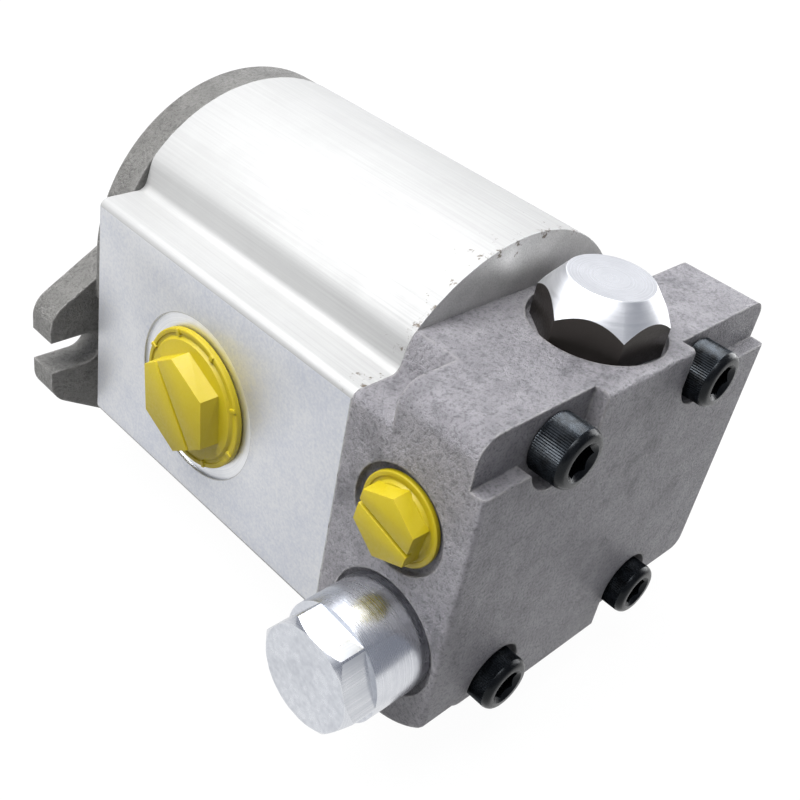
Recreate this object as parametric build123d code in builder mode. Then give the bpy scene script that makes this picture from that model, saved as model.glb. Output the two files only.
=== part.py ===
from build123d import *
import os
from math import acos, cos, pi, radians, sin, sqrt, tan

# External gear pump. Millimetres, +Z up. The drive shaft runs along Y and points to +Y.
# The origin is the centre of the pilot on the mounting face. A depth is measured backwards
# from the mounting face, so a depth d is the plane y = -d.

# Mounting flange: two open slots beside a round pilot
bolt_spacing = 106.4
slot_width = 11.1
pilot_diameter = 82.55
pilot_height = 6.35
flange_thickness = 21.0
ear_thickness = 10.5
ear_span = 130.0
ear_corner_radius = 9.0
flange_disc_radius = 47.0
ear_slope = 32.0
flange_inset = 0.2
flange_rim_round = 1.5
thread_boss_radius = 7.0
thread_boss_height = 4.5
slot_access_radius = 19.0
pilot_chamfer = 1.0

# Pump body: one extruded section, the same above and below its middle
body_width = 111.0
side_height = 73.5
body_length = 105.0
dome_radius = 50.5
dome_offset = 13.3
flank_top_height = 45.5
flank_foot_half_width = 41.0
side_corner_radius = 2.5
flank_top_radius = 8.0
flank_foot_radius = 3.0

# Gears
gear_module = 3.4
gear_teeth = 12
pressure_angle = 25.0
root_depth_factor = 1.25
tooth_backlash = 0.12
root_fillet = 0.8
flank_points = 5
block_length = 23.4
journal_diameter = 25.0
journal_end_gap = 1.0

# Shaft end
shaft_end_diameter = 22.225
shaft_reach = 41.2
shaft_step_height = 7.4
shaft_chamfer = 1.5
key_width = 6.35
key_length = 25.4
key_end_gap = 3.0
keyway_depth = 3.3

# Plain bushes
bush_wall = 1.5
bush_length = 21.0

# Shaft seal and its retaining ring
seal_seat_depth = 4.0
seal_diameter = 42.0
seal_width = 7.0
seal_case_wall = 1.2
garter_wire_radius = 0.6
garter_seat_radius = 15.4
garter_depth = 1.9
lip_edge_depth = 0.8
lip_back_depth = 2.8
lip_shoulder_depth = 1.0
lip_root_thickness = 1.6
lip_back_thickness = 1.3
lip_shoulder_height = 1.2
ring_thickness = 1.75
ring_groove_depth = 1.2
ring_radial_width = 3.4
ring_gap = 12.0
ring_lug_radius = 2.6
ring_lug_hole = 1.0
shaft_bore_diameter = 27.0
centre_hole_diameter = 5.0
centre_hole_depth = 8.0

# Perimeter seals in the two end faces of the body
perimeter_seal_offset = 0.9
perimeter_seal_width = 2.2
perimeter_seal_depth = 1.9

# Axial seals on the backs of the bearing blocks
block_seal_radius = 20.6
block_seal_width = 2.2
backup_width = 1.2
block_groove_depth = 1.8
block_seal_reach = 4.0
relief_pocket_width = 6.0
relief_pocket_height = 9.0
relief_pocket_depth = 3.0
relief_pocket_offset = 10.5

# Rear cover
foot_depth = 13.5
cover_depth = 42.3
cover_top_height = 47.5
cover_right_reach = 61.4
cover_right_drop = 41.2
cover_left_drop = 38.0
cover_belly_drop = 52.0
cover_belly_half_width = 39.0
cover_left_round = 6.0
cover_corner_round = 5.0
cover_belly_round = 6.0
cover_edge_round = 1.5
relief_boss_radius = 26.2
relief_boss_length = 62.0

# Long screws
screw_spacing_x = 59.0
screw_spacing_z = 76.0
screw_pattern_drop = 0.6
screw_diameter = 10.0
screw_engagement = 12.0
screw_head_diameter = 16.0
screw_head_height = 10.0
screw_socket_width = 8.0
screw_socket_depth = 5.0
screw_head_chamfer = 0.8
thread_hole_end_gap = 1.5
pocket_depth = 4.4
pocket_radius_left = 10.8
pocket_radius_right = 9.6
left_notch_reach = 13.2
pocket_radius_low = 9.7
left_ledge_height = 34.3
right_ledge_height = 35.4

# Dowel sleeves about two of the screws, half in each of the joined pieces
sleeve_diameter = 12.4
sleeve_bore = 11.0
sleeve_length = 12.0
sleeve_end_gap = 0.2

# Ports. The left one is the pressure port, the right one the wider inlet port.
port_depth = 69.2
port_drop = 1.2
left_port_diameter = 33.3
left_port_face_diameter = 48.2
left_port_face_depth = 0.8
left_port_thread_length = 20.0
left_gallery_diameter = 24.0
inlet_port_diameter = 41.3
inlet_port_face_diameter = 58.0
inlet_port_face_depth = 0.8
inlet_port_thread_length = 20.0
inlet_gallery_diameter = 30.0
gallery_reach = 10.0
cover_port_diameter = 19.0
cover_port_face_diameter = 29.0
cover_port_face_depth = 2.0
cover_port_thread_length = 14.0
cover_port_height = 12.9
cover_port_setback = 20.7
cover_gallery_diameter = 8.0

# Relief valve, along X in the left side of the cover
relief_setback = 23.0
relief_drop = 23.0
relief_recess_diameter = 35.0
relief_recess_depth = 1.5
relief_thread_diameter = 26.0
relief_thread_length = 17.0
cap_bar_diameter = 32.0
cap_hex_width = 28.0
cap_reach = 25.0
cap_hex_length = 8.5
cap_end_chamfer = 1.9
cap_hex_turn = -5.0
cap_spring_bore = 17.0
cap_end_wall = 8.0
cap_stub_length = 15.0
cap_seal_section = 2.6
poppet_diameter = 14.0
poppet_length = 13.0
poppet_cone_length = 4.0
relief_seat_length = 9.0
relief_seat_bore = 7.0
relief_bore_length = 23.0
relief_passage_diameter = 6.0
poppet_tip_diameter = 5.8
poppet_shoulder_diameter = 13.0
poppet_tip_reach = 0.4
shim_thickness = 1.6
shim_diameter = 16.0
relief_spring_radius = 5.6
relief_wire_radius = 1.2
relief_spring_turns = 6

# Priority spool, upright behind the top plug
spool_offset = 6.3
spool_setback = 21.0
top_recess_diameter = 36.6
top_recess_depth = 3.2
top_thread_diameter = 27.0
top_thread_length = 13.0
top_plug_hex_width = 30.0
top_plug_disc_diameter = 22.6
top_plug_reach = 13.5
top_plug_cone_height = 8.2
top_plug_cone_overrun = 1.2
top_plug_hex_turn = 54.0
top_plug_stub_length = 11.0
top_seal_section = 2.4
spool_diameter = 18.0
spool_length = 32.0
spool_neck_diameter = 12.0
spool_land_height = 6.5
spool_neck_height = 8.5
spool_bore_floor = -10.0
spool_spring_radius = 5.6
spool_wire_radius = 1.0
spool_spring_turns = 5
spool_pocket_depth = 12.0
spool_pocket_diameter = 14.0
feed_diameter = 9.0

# Transport plugs: collar, hex head with a screwdriver slot, hollow stub
plug_wall = 2.2
plug_draft = 2.0
plug_slot_width = 1.7
plug_slot_depth = 1.6
body_plug_collar = 40.6
body_plug_collar_height = 2.4
body_plug_hex = 25.8
body_plug_height = 8.4
body_plug_stub = 14.0
body_plug_turn = 36.0
body_plug_slot_turn = 130.0
cover_plug_collar = 24.6
cover_plug_collar_height = 2.0
cover_plug_hex = 17.6
cover_plug_height = 7.0
cover_plug_stub = 10.0
cover_plug_turn = 22.0
cover_plug_slot_turn = 165.0
inlet_plug_collar = 50.0
inlet_plug_collar_height = 2.6
inlet_plug_hex = 31.8
inlet_plug_height = 9.4
inlet_plug_stub = 14.0

# Clearances
gear_tip_clearance = 0.08
gear_face_clearance = 0.05
journal_clearance = 0.03
seat_clearance = 0.03
slide_clearance = 0.03
thread_clearance = 0.05
screw_clearance = 0.5
groove_clearance = 0.1
lip_clearance = 0.03
key_clearance = 0.05
ring_clearance = 0.05
plug_clearance = 0.1
plug_seat_gap = 0.3
spool_rest_gap = 0.3

# Sizes that follow from the ones above
pitch_radius = gear_module * gear_teeth / 2
gear_centres = 2 * pitch_radius
tip_radius = pitch_radius + gear_module
root_radius = pitch_radius - root_depth_factor * gear_module
base_radius = pitch_radius * cos(radians(pressure_angle))
gear_bore_radius = tip_radius + gear_tip_clearance
middle_z = gear_centres / 2
journal_radius = journal_diameter / 2
bush_radius = journal_radius + journal_clearance + bush_wall
body_front = flange_thickness
body_back = body_front + body_length
gear_front = body_front + block_length + gear_face_clearance
gear_width = body_length - 2 * (block_length + gear_face_clearance)
rear_block_front = body_back - block_length
cover_back = body_back + cover_depth
block_front = body_back + foot_depth
cover_top_z = middle_z + cover_top_height
half_width = body_width / 2
spot_depth = cover_back - pocket_depth
screw_length = spot_depth - body_front + screw_engagement
relief_depth = body_back + relief_setback
relief_z = middle_z - relief_drop
spool_depth = body_back + spool_setback
top_recess_z = cover_top_z - top_recess_depth
spool_bore_floor_z = middle_z + spool_bore_floor
spool_bottom_z = spool_bore_floor_z + spool_rest_gap
feed_z = spool_bottom_z + spool_land_height + spool_neck_height / 2
relief_bore_end = relief_recess_depth + relief_thread_length + relief_bore_length
relief_seat_front = relief_bore_end - relief_seat_length
poppet_back = relief_seat_front + poppet_tip_reach - poppet_length
port_z = middle_z - port_drop
cover_port_z = middle_z + cover_port_height
cover_port_depth = body_back + cover_port_setback
top_screw_z = middle_z - screw_pattern_drop + screw_spacing_z / 2
low_screw_z = middle_z - screw_pattern_drop - screw_spacing_z / 2

drive_axis = Axis((0, 0, 0), (0, 1, 0))
relief_axis = Axis((0, -relief_depth, relief_z), (1, 0, 0))
spool_axis = Axis((spool_offset, -spool_depth, 0), (0, 0, 1))


def behind(depth):
    """Plane square to the shaft at a depth, its normal to the rear."""
    return Plane.XZ.offset(depth)


def ahead(depth):
    """Plane square to the shaft at a depth, its normal to the front."""
    return Plane(origin=(0, -depth, 0), x_dir=(-1, 0, 0), z_dir=(0, 1, 0))


def from_left(depth, height, inward=0.0):
    """Plane on the left side, or inward of it, at a bore's centre. Its normal points out of the bore."""
    return Plane(origin=(inward - half_width, -depth, height), x_dir=(0, -1, 0), z_dir=(-1, 0, 0))


def from_right(depth, height, inward=0.0):
    """Plane on the right side, or inward of it, at a bore's centre. Its normal points out of the bore."""
    return Plane(origin=(half_width - inward, -depth, height), x_dir=(0, 1, 0), z_dir=(1, 0, 0))


def upright(height):
    """Level plane on the axis of the priority spool."""
    return Plane(origin=(spool_offset, -spool_depth, height))


def across_relief(inward):
    """Plane through the relief valve's axis: along the bore, and up from it."""
    return Plane(origin=(inward - half_width, -relief_depth, relief_z), x_dir=(1, 0, 0), z_dir=(0, -1, 0))


def across_spool(height):
    """Plane through the spool's axis: to the right, and up."""
    return Plane(origin=(spool_offset, -spool_depth, height), x_dir=(1, 0, 0), z_dir=(0, -1, 0))


def corners_at(outline, x, y):
    """Vertices of a sketch at (x, y) and at its three mirror images."""
    return [v for v in outline.vertices() if abs(abs(v.X) - x) < 0.01 and abs(abs(v.Y) - y) < 0.01]


def pump_section():
    """Section of the extruded body about its middle: a flat-sided block with a dome above and below."""
    side = side_height / 2
    flank_z = flank_top_height
    flank_x = sqrt(dome_radius**2 - (flank_z - dome_offset) ** 2)
    foot_x = flank_foot_half_width
    crown = (0, dome_offset + dome_radius)
    with BuildSketch() as outline:
        with BuildLine():
            RadiusArc(crown, (flank_x, flank_z), dome_radius)
            Polyline((flank_x, flank_z), (foot_x, side), (half_width, side), (half_width, 0))
            mirror(about=Plane.YZ)
            mirror(about=Plane.XZ)
        make_face()
        fillet(corners_at(outline, foot_x, side), flank_foot_radius)
        fillet(corners_at(outline, half_width, side), side_corner_radius)
        fillet(corners_at(outline, flank_x, flank_z), flank_top_radius)
    return outline.sketch


def figure_eight(radius, mode=Mode.ADD):
    """Two circles about the gear axes."""
    with Locations((0, 0), (0, gear_centres)):
        Circle(radius, mode=mode)


def tooth_half_angle(radius):
    """Half of a tooth's thickness at a radius, as an angle."""
    turn = acos(base_radius / radius)
    start = radians(pressure_angle)
    pitch_half = pi / (2 * gear_teeth) - tooth_backlash / (4 * pitch_radius)
    return pitch_half + (tan(start) - start) - (tan(turn) - turn)


def tooth_gap():
    """Space between two teeth, centred on the sketch's X axis: involute flanks on a round root."""
    outer = tip_radius + gear_module / 6
    radii = [base_radius + (outer - base_radius) * i / (flank_points - 1) for i in range(flank_points)]
    flank = [(r, pi / gear_teeth - tooth_half_angle(r)) for r in radii]
    upper = [(r * cos(a), r * sin(a)) for r, a in flank]
    lower = [(x, -y) for x, y in upper]
    foot_angle = flank[0][1]
    foot = (root_radius * cos(foot_angle), root_radius * sin(foot_angle))
    with BuildSketch() as gap:
        with BuildLine():
            Spline(*upper)
            Spline(*lower)
            ThreePointArc(upper[-1], (outer, 0), lower[-1])
            Line(upper[0], foot)
            Line(lower[0], (foot[0], -foot[1]))
            ThreePointArc(foot, (root_radius, 0), (foot[0], -foot[1]))
        make_face()
        fillet(corners_at(gap, *foot), root_fillet)
    return gap.sketch


def gear_section(first_gap):
    """Spur gear section with its first tooth gap at an angle."""
    with BuildSketch() as section:
        Circle(tip_radius)
        with PolarLocations(0, gear_teeth, start_angle=first_gap):
            add(tooth_gap(), mode=Mode.SUBTRACT)
    return section.sketch


def block_section(radius):
    """Bearing block: two overlapping discs with a hole for each bush."""
    with BuildSketch() as section:
        figure_eight(radius)
        figure_eight(bush_radius + seat_clearance, mode=Mode.SUBTRACT)
    return section.sketch


def three_shape(inner, outer, reach, spread=0.0):
    """Seal like a figure three: two arcs about the gear axes that meet at the waist, open to the inlet."""
    with BuildSketch() as shape:
        figure_eight(outer + spread)
        figure_eight(inner - spread, mode=Mode.SUBTRACT)
        with Locations((reach + spread, middle_z)):
            Rectangle(
                outer + reach + 2 * spread,
                4 * outer + gear_centres,
                align=(Align.MAX, Align.CENTER),
                mode=Mode.INTERSECT,
            )
    return shape.sketch


def spring_solid(radius, wire_radius, length, turns):
    """Compression spring standing on the XY plane."""
    rise = length - 2 * wire_radius
    with BuildPart() as spring:
        with BuildLine(Plane.XY.offset(wire_radius)) as coil:
            Helix(pitch=rise / turns, height=rise, radius=radius)
        with BuildSketch(Plane(coil.line @ 0, z_dir=coil.line % 0)):
            Circle(wire_radius)
        sweep(is_frenet=True)
    return spring.part


def transport_plug(stub_diameter, stub, collar, collar_height, hex_width, height, turn, slot_turn):
    """Plastic plug about +Z, seated on the XY plane by its collar."""
    with BuildPart() as plug:
        with BuildSketch():
            Circle(stub_diameter / 2)
        extrude(amount=-stub)
        chamfer(plug.edges().sort_by(Axis.Z)[0], plug_wall / 2)
        with BuildSketch():
            Circle(collar / 2)
        extrude(amount=collar_height * 0.6)
        with BuildSketch(Plane.XY.offset(collar_height * 0.6)):
            Circle(collar / 2 * 0.92)
        extrude(amount=collar_height * 0.4, taper=30)
        with BuildSketch(Plane.XY.offset(collar_height)):
            RegularPolygon(hex_width / 2, 6, major_radius=False, rotation=turn)
        extrude(amount=height - collar_height, taper=plug_draft)
        with BuildSketch(Plane.XY.offset(-stub)):
            Circle(stub_diameter / 2 - plug_wall)
        extrude(amount=stub - plug_wall, mode=Mode.SUBTRACT)
        with BuildSketch(Plane.XY.offset(height)):
            Rectangle(2 * hex_width, plug_slot_width, rotation=slot_turn)
        extrude(amount=-plug_slot_depth, mode=Mode.SUBTRACT)
    return plug.part


def ring_solid(inner, outer, thickness):
    """Flat ring standing on the XY plane."""
    with BuildPart() as ring:
        with BuildSketch():
            Circle(outer)
            Circle(inner, mode=Mode.SUBTRACT)
        extrude(amount=thickness)
    return ring.part


def o_ring(radius, section):
    """Round-section ring lying on the XY plane."""
    with BuildPart() as ring:
        with BuildSketch(Plane.XZ):
            with Locations((radius, section / 2)):
                Circle(section / 2)
        revolve(axis=Axis.Z)
    return ring.part


def cap_screw():
    """Socket-head screw, its head above the XY plane and its shank below."""
    with BuildPart() as screw:
        with BuildSketch():
            Circle(screw_head_diameter / 2)
        extrude(amount=screw_head_height)
        chamfer(screw.edges().sort_by(Axis.Z)[-1], screw_head_chamfer)
        with BuildSketch(Plane.XY.offset(screw_head_height)):
            RegularPolygon(screw_socket_width / 2, 6, major_radius=False)
        extrude(amount=-screw_socket_depth, mode=Mode.SUBTRACT)
        with BuildSketch():
            Circle(screw_diameter / 2)
        extrude(amount=-screw_length)
        chamfer(screw.edges().sort_by(Axis.Z)[0], screw_head_chamfer)
    return screw.part


def seal_profile(points):
    """Face between points given as distance along the drive axis and radius."""
    with BuildSketch() as profile:
        with BuildLine():
            Polyline(*points, close=True)
        make_face()
    return profile.sketch


# Places of the screws, and of the two that the dowel sleeves surround
screw_half_x = screw_spacing_x / 2
screw_points = [(x, z) for x in (-screw_half_x, screw_half_x) for z in (low_screw_z, top_screw_z)]
sleeve_points = [(-screw_half_x, top_screw_z), (screw_half_x, low_screw_z)]
sleeve_hole_radius = sleeve_diameter / 2 + seat_clearance
sleeve_hole_depth = sleeve_length / 2 + sleeve_end_gap
screw_hole_radius = screw_diameter / 2 + screw_clearance
screw_end_depth = spot_depth - screw_length
thread_hole_depth = body_front - screw_end_depth + thread_hole_end_gap

# Front flange: foot against the body, eared plate, pilot
ear_x = ear_span / 2
slope = radians(ear_slope)
disc_touch = (-flange_disc_radius * sin(slope), flange_disc_radius * cos(slope))
ear_shoulder_z = disc_touch[1] - (ear_x + disc_touch[0]) * tan(slope)
slot_x = bolt_spacing / 2
seal_bore_radius = seal_diameter / 2 + seat_clearance
seal_front = seal_width - seal_seat_depth
ring_front = seal_front + ring_thickness
with BuildPart() as front_flange:
    with BuildSketch(behind(ear_thickness)):
        with Locations((0, middle_z)):
            SlotCenterToCenter(2 * dome_offset, 2 * (dome_radius - flange_inset), rotation=90)
    extrude(amount=flange_thickness - ear_thickness)
    fillet(front_flange.faces().sort_by(Axis.Y)[-1].edges(), flange_rim_round)
    with BuildSketch(behind(ear_thickness)):
        with Locations((-slot_x, 0), (slot_x, 0)):
            Circle(slot_access_radius)
    extrude(amount=flange_thickness - ear_thickness, mode=Mode.SUBTRACT)
    with BuildSketch(ahead(ear_thickness)):
        with Locations((-screw_half_x, top_screw_z), (screw_half_x, top_screw_z)):
            Circle(thread_boss_radius)
    extrude(amount=thread_boss_height)
    fillet(front_flange.edges().sort_by(Axis.Y)[-2:], flange_rim_round)
    with BuildSketch(behind(0)) as ear_plate:
        with BuildLine():
            Polyline((0, flange_disc_radius), disc_touch, (-ear_x, ear_shoulder_z), (-ear_x, 0))
            mirror(about=Plane.XZ)
            mirror(about=Plane.YZ)
        make_face()
        fillet(corners_at(ear_plate, ear_x, ear_shoulder_z), ear_corner_radius)
        Circle(flange_disc_radius)
    extrude(amount=ear_thickness)
    with BuildSketch(behind(0)):
        with Locations((-slot_x, 0), (slot_x, 0)):
            Circle(slot_width / 2)
        with Locations((-slot_x, 0)):
            Rectangle(ear_x, slot_width, align=(Align.MAX, Align.CENTER))
        with Locations((slot_x, 0)):
            Rectangle(ear_x, slot_width, align=(Align.MIN, Align.CENTER))
    extrude(amount=ear_thickness, mode=Mode.SUBTRACT)
    with BuildSketch(ahead(0)):
        Circle(pilot_diameter / 2)
    extrude(amount=pilot_height)
    chamfer(front_flange.edges().sort_by(Axis.Y)[-1], pilot_chamfer)
    with Locations(ahead(-pilot_height)):
        CounterBoreHole(
            shaft_bore_diameter / 2,
            seal_bore_radius,
            pilot_height + seal_seat_depth,
            pilot_height + flange_thickness,
        )
    with BuildSketch(ahead(-ring_front)):
        Circle(seal_bore_radius + ring_groove_depth)
    extrude(amount=-ring_thickness, mode=Mode.SUBTRACT)
    with Locations(behind(flange_thickness)):
        with Locations(*screw_points):
            Hole(screw_diameter / 2 + thread_clearance, thread_hole_depth)
        with Locations(*sleeve_points):
            Hole(sleeve_hole_radius, sleeve_hole_depth)

# Pump body: bored for the gears and blocks, grooved for the seals, a port on each side
groove_inner = gear_bore_radius + perimeter_seal_offset
groove_outer = groove_inner + perimeter_seal_width
with BuildPart() as pump_body:
    with BuildSketch(behind(body_front)):
        with Locations((0, middle_z)):
            add(pump_section())
    extrude(amount=body_length)
    with BuildSketch(behind(body_front)):
        figure_eight(gear_bore_radius)
        with Locations(*screw_points):
            Circle(screw_hole_radius)
    extrude(amount=body_length, mode=Mode.SUBTRACT)
    for end, inward in ((body_front, 1), (body_back, -1)):
        with BuildSketch(behind(end)):
            with Locations(*sleeve_points):
                Circle(sleeve_hole_radius)
        extrude(amount=inward * sleeve_hole_depth, mode=Mode.SUBTRACT)
        with BuildSketch(behind(end)):
            figure_eight(groove_outer)
            figure_eight(groove_inner, mode=Mode.SUBTRACT)
        extrude(amount=inward * perimeter_seal_depth, mode=Mode.SUBTRACT)
    with Locations(from_left(port_depth, port_z)):
        CounterBoreHole(
            left_port_diameter / 2,
            left_port_face_diameter / 2,
            left_port_face_depth,
            left_port_face_depth + left_port_thread_length,
        )
        Hole(left_gallery_diameter / 2, half_width - gallery_reach)
    with Locations(from_right(port_depth, port_z)):
        CounterBoreHole(
            inlet_port_diameter / 2,
            inlet_port_face_diameter / 2,
            inlet_port_face_depth,
            inlet_port_face_depth + inlet_port_thread_length,
        )
        Hole(inlet_gallery_diameter / 2, half_width - gallery_reach)

# Rear cover: foot cut level below the dome, wide block, boss round the relief valve
right_side_z = middle_z - cover_right_drop
left_side_z = middle_z - cover_left_drop
belly_z = middle_z - cover_belly_drop
belly_x = cover_belly_half_width
right_x = cover_right_reach
with BuildPart() as rear_cover:
    with BuildSketch(behind(body_back)):
        with Locations((0, middle_z)):
            add(pump_section())
        with Locations((0, cover_top_z)):
            Rectangle(2 * body_width, 2 * body_width, align=(Align.CENTER, Align.MAX), mode=Mode.INTERSECT)
    extrude(amount=foot_depth)
    with BuildSketch(behind(block_front)) as cover_outline:
        with BuildLine():
            Polyline(
                (-half_width, cover_top_z),
                (right_x, cover_top_z),
                (right_x, right_side_z),
                (belly_x, right_side_z),
                (belly_x, belly_z),
                (-belly_x, belly_z),
                (-belly_x, left_side_z),
                (-half_width, left_side_z),
                close=True,
            )
        make_face()
        fillet(corners_at(cover_outline, half_width, cover_top_z), cover_left_round)
        fillet(corners_at(cover_outline, right_x, cover_top_z), cover_corner_round)
        fillet(corners_at(cover_outline, right_x, -right_side_z), cover_corner_round)
        fillet(corners_at(cover_outline, belly_x, -belly_z), cover_belly_round)
    extrude(amount=cover_depth - foot_depth)
    with BuildSketch(from_left(relief_depth, relief_z)):
        Circle(relief_boss_radius)
        with Locations((-relief_setback, 0)):
            Rectangle(
                cover_depth,
                2 * relief_boss_radius,
                align=(Align.MIN, Align.CENTER),
                mode=Mode.INTERSECT,
            )
    extrude(amount=-relief_boss_length)
    fillet(rear_cover.faces().sort_by(Axis.Y)[0].outer_wire().edges(), cover_edge_round)
    with BuildSketch(behind(spot_depth)):
        with Locations((-screw_half_x, top_screw_z)):
            Circle(pocket_radius_left)
        with Locations((screw_half_x, top_screw_z)):
            Circle(pocket_radius_right)
        with Locations((-screw_half_x, low_screw_z), (screw_half_x, low_screw_z)):
            Circle(pocket_radius_low)
            Rectangle(2 * pocket_radius_low, body_width, align=(Align.CENTER, Align.MAX))
        with Locations((-screw_half_x + left_notch_reach, middle_z + left_ledge_height)):
            Rectangle(body_width, body_width, align=(Align.MAX, Align.MIN))
        with Locations((screw_half_x - pocket_radius_right, middle_z + right_ledge_height)):
            Rectangle(body_width, body_width, align=(Align.MIN, Align.MIN))
    extrude(amount=pocket_depth, mode=Mode.SUBTRACT)
    with BuildSketch(behind(body_back)):
        with Locations(*screw_points):
            Circle(screw_hole_radius)
    extrude(amount=cover_depth, mode=Mode.SUBTRACT)
    with BuildSketch(behind(body_back)):
        with Locations(*sleeve_points):
            Circle(sleeve_hole_radius)
    extrude(amount=sleeve_hole_depth, mode=Mode.SUBTRACT)
    with BuildSketch(behind(body_back)):
        with Locations((spool_offset, feed_z)):
            Circle(feed_diameter / 2)
    extrude(amount=spool_setback, mode=Mode.SUBTRACT)
    with Locations(from_left(cover_port_depth, cover_port_z)):
        CounterBoreHole(
            cover_port_diameter / 2,
            cover_port_face_diameter / 2,
            cover_port_face_depth,
            cover_port_face_depth + cover_port_thread_length,
        )
        Hole(cover_gallery_diameter / 2, half_width)
    with Locations(from_left(relief_depth, relief_z)):
        CounterBoreHole(
            relief_thread_diameter / 2,
            relief_recess_diameter / 2,
            relief_recess_depth,
            relief_recess_depth + relief_thread_length,
        )
        Hole(poppet_diameter / 2 + slide_clearance, relief_bore_end)
        Hole(relief_passage_diameter / 2, half_width + spool_offset)
    with Locations(upright(cover_top_z)):
        CounterBoreHole(
            top_thread_diameter / 2,
            top_recess_diameter / 2,
            top_recess_depth,
            top_recess_depth + top_thread_length,
        )
        Hole(spool_diameter / 2 + slide_clearance, cover_top_z - spool_bore_floor_z)
        Hole(relief_passage_diameter / 2, cover_top_z - relief_z)

# Four screws through cover and body into the flange
with BuildPart() as cover_screws:
    with Locations(behind(spot_depth)):
        with Locations(*screw_points):
            add(cap_screw())

# Dowel sleeves: two between flange and body, two between body and cover
with BuildPart() as dowel_sleeves:
    for joint_depth in (body_front, body_back):
        with Locations(behind(joint_depth - sleeve_length / 2)):
            with Locations(*sleeve_points):
                add(ring_solid(sleeve_bore / 2, sleeve_diameter / 2, sleeve_length))

# Drive gear in one piece with its shaft. A tooth points up to the driven gear.
key_middle = shaft_reach - key_end_gap - key_length / 2
keyway_floor = shaft_end_diameter / 2 - keyway_depth
with BuildPart() as drive_gear_shaft:
    with BuildSketch(behind(gear_front)):
        add(gear_section(180 / gear_teeth))
    extrude(amount=gear_width)
    with BuildSketch(behind(-shaft_step_height)):
        Circle(journal_radius)
    extrude(amount=shaft_step_height + body_back - journal_end_gap)
    with BuildSketch(ahead(-shaft_step_height)):
        Circle(shaft_end_diameter / 2)
    extrude(amount=shaft_reach - shaft_step_height)
    chamfer(drive_gear_shaft.edges().sort_by(Axis.Y)[-1], shaft_chamfer)
    chamfer(drive_gear_shaft.edges().sort_by(Axis.Y)[0], shaft_chamfer)
    with BuildSketch(Plane.XY.offset(keyway_floor)):
        with Locations((0, key_middle)):
            SlotOverall(key_length, key_width, rotation=90)
    extrude(amount=keyway_depth, mode=Mode.SUBTRACT)
    with Locations(ahead(-shaft_reach)):
        Hole(centre_hole_diameter / 2, centre_hole_depth)

# Key: half in the shaft, half standing proud
with BuildPart() as shaft_key:
    with BuildSketch(Plane.XY.offset(keyway_floor)):
        with Locations((0, key_middle)):
            SlotOverall(key_length - 2 * key_clearance, key_width - 2 * key_clearance, rotation=90)
    extrude(amount=key_width)

# Driven gear in one piece with its journals. A tooth gap faces the drive gear.
with BuildPart() as driven_gear_shaft:
    with BuildSketch(behind(gear_front)):
        with Locations((0, gear_centres)):
            add(gear_section(0))
    extrude(amount=gear_width)
    with BuildSketch(behind(body_front + journal_end_gap)):
        with Locations((0, gear_centres)):
            Circle(journal_radius)
    extrude(amount=body_length - 2 * journal_end_gap)
    chamfer(driven_gear_shaft.edges().sort_by(Axis.Y)[-1], shaft_chamfer)
    chamfer(driven_gear_shaft.edges().sort_by(Axis.Y)[0], shaft_chamfer)

# Bearing blocks before and behind the gears, each with a seal groove on its back
block_radius = gear_bore_radius - seat_clearance
seal_inner = block_seal_radius - block_seal_width / 2
seal_outer = block_seal_radius + block_seal_width / 2
strip_outer = seal_outer + backup_width
pocket_points = [(-relief_pocket_offset, middle_z), (relief_pocket_offset, middle_z)]
with BuildPart() as front_bearing_block:
    with BuildSketch(behind(body_front)):
        add(block_section(block_radius))
    extrude(amount=block_length)
    with BuildSketch(behind(body_front + block_length)):
        with Locations(*pocket_points):
            Rectangle(relief_pocket_width, relief_pocket_height)
    extrude(amount=-relief_pocket_depth, mode=Mode.SUBTRACT)
    with BuildSketch(behind(body_front)):
        add(three_shape(seal_inner, strip_outer, block_seal_reach, groove_clearance))
    extrude(amount=block_groove_depth, mode=Mode.SUBTRACT)

with BuildPart() as rear_bearing_block:
    with BuildSketch(behind(rear_block_front)):
        add(block_section(block_radius))
    extrude(amount=block_length)
    with BuildSketch(behind(rear_block_front)):
        with Locations(*pocket_points):
            Rectangle(relief_pocket_width, relief_pocket_height)
    extrude(amount=relief_pocket_depth, mode=Mode.SUBTRACT)
    with BuildSketch(behind(body_back)):
        add(three_shape(seal_inner, strip_outer, block_seal_reach, groove_clearance))
    extrude(amount=-block_groove_depth, mode=Mode.SUBTRACT)

# Plain bushes: two in each bearing block
bush_inset = (block_length - bush_length) / 2
with BuildPart() as bearing_bushes:
    for bush_front in (body_front + bush_inset, rear_block_front + bush_inset):
        with BuildSketch(behind(bush_front)):
            figure_eight(bush_radius)
            figure_eight(journal_radius + journal_clearance, mode=Mode.SUBTRACT)
        extrude(amount=bush_length)

# Perimeter seals in the two end faces of the body
with BuildPart() as front_body_seal:
    with BuildSketch(behind(body_front)):
        figure_eight(groove_outer - groove_clearance)
        figure_eight(groove_inner + groove_clearance, mode=Mode.SUBTRACT)
    extrude(amount=perimeter_seal_depth)

with BuildPart() as rear_body_seal:
    with BuildSketch(behind(body_back)):
        figure_eight(groove_outer - groove_clearance)
        figure_eight(groove_inner + groove_clearance, mode=Mode.SUBTRACT)
    extrude(amount=-perimeter_seal_depth)

# Three-shaped seals and their backup strips, one of each on every bearing block
with BuildPart() as block_seals:
    with BuildSketch(behind(body_front), behind(body_back - block_groove_depth)):
        add(three_shape(seal_inner, seal_outer, block_seal_reach))
    extrude(amount=block_groove_depth)

with BuildPart() as block_backup_strips:
    with BuildSketch(behind(body_front), behind(body_back - block_groove_depth)):
        add(three_shape(seal_outer, strip_outer, block_seal_reach))
    extrude(amount=block_groove_depth)

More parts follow.
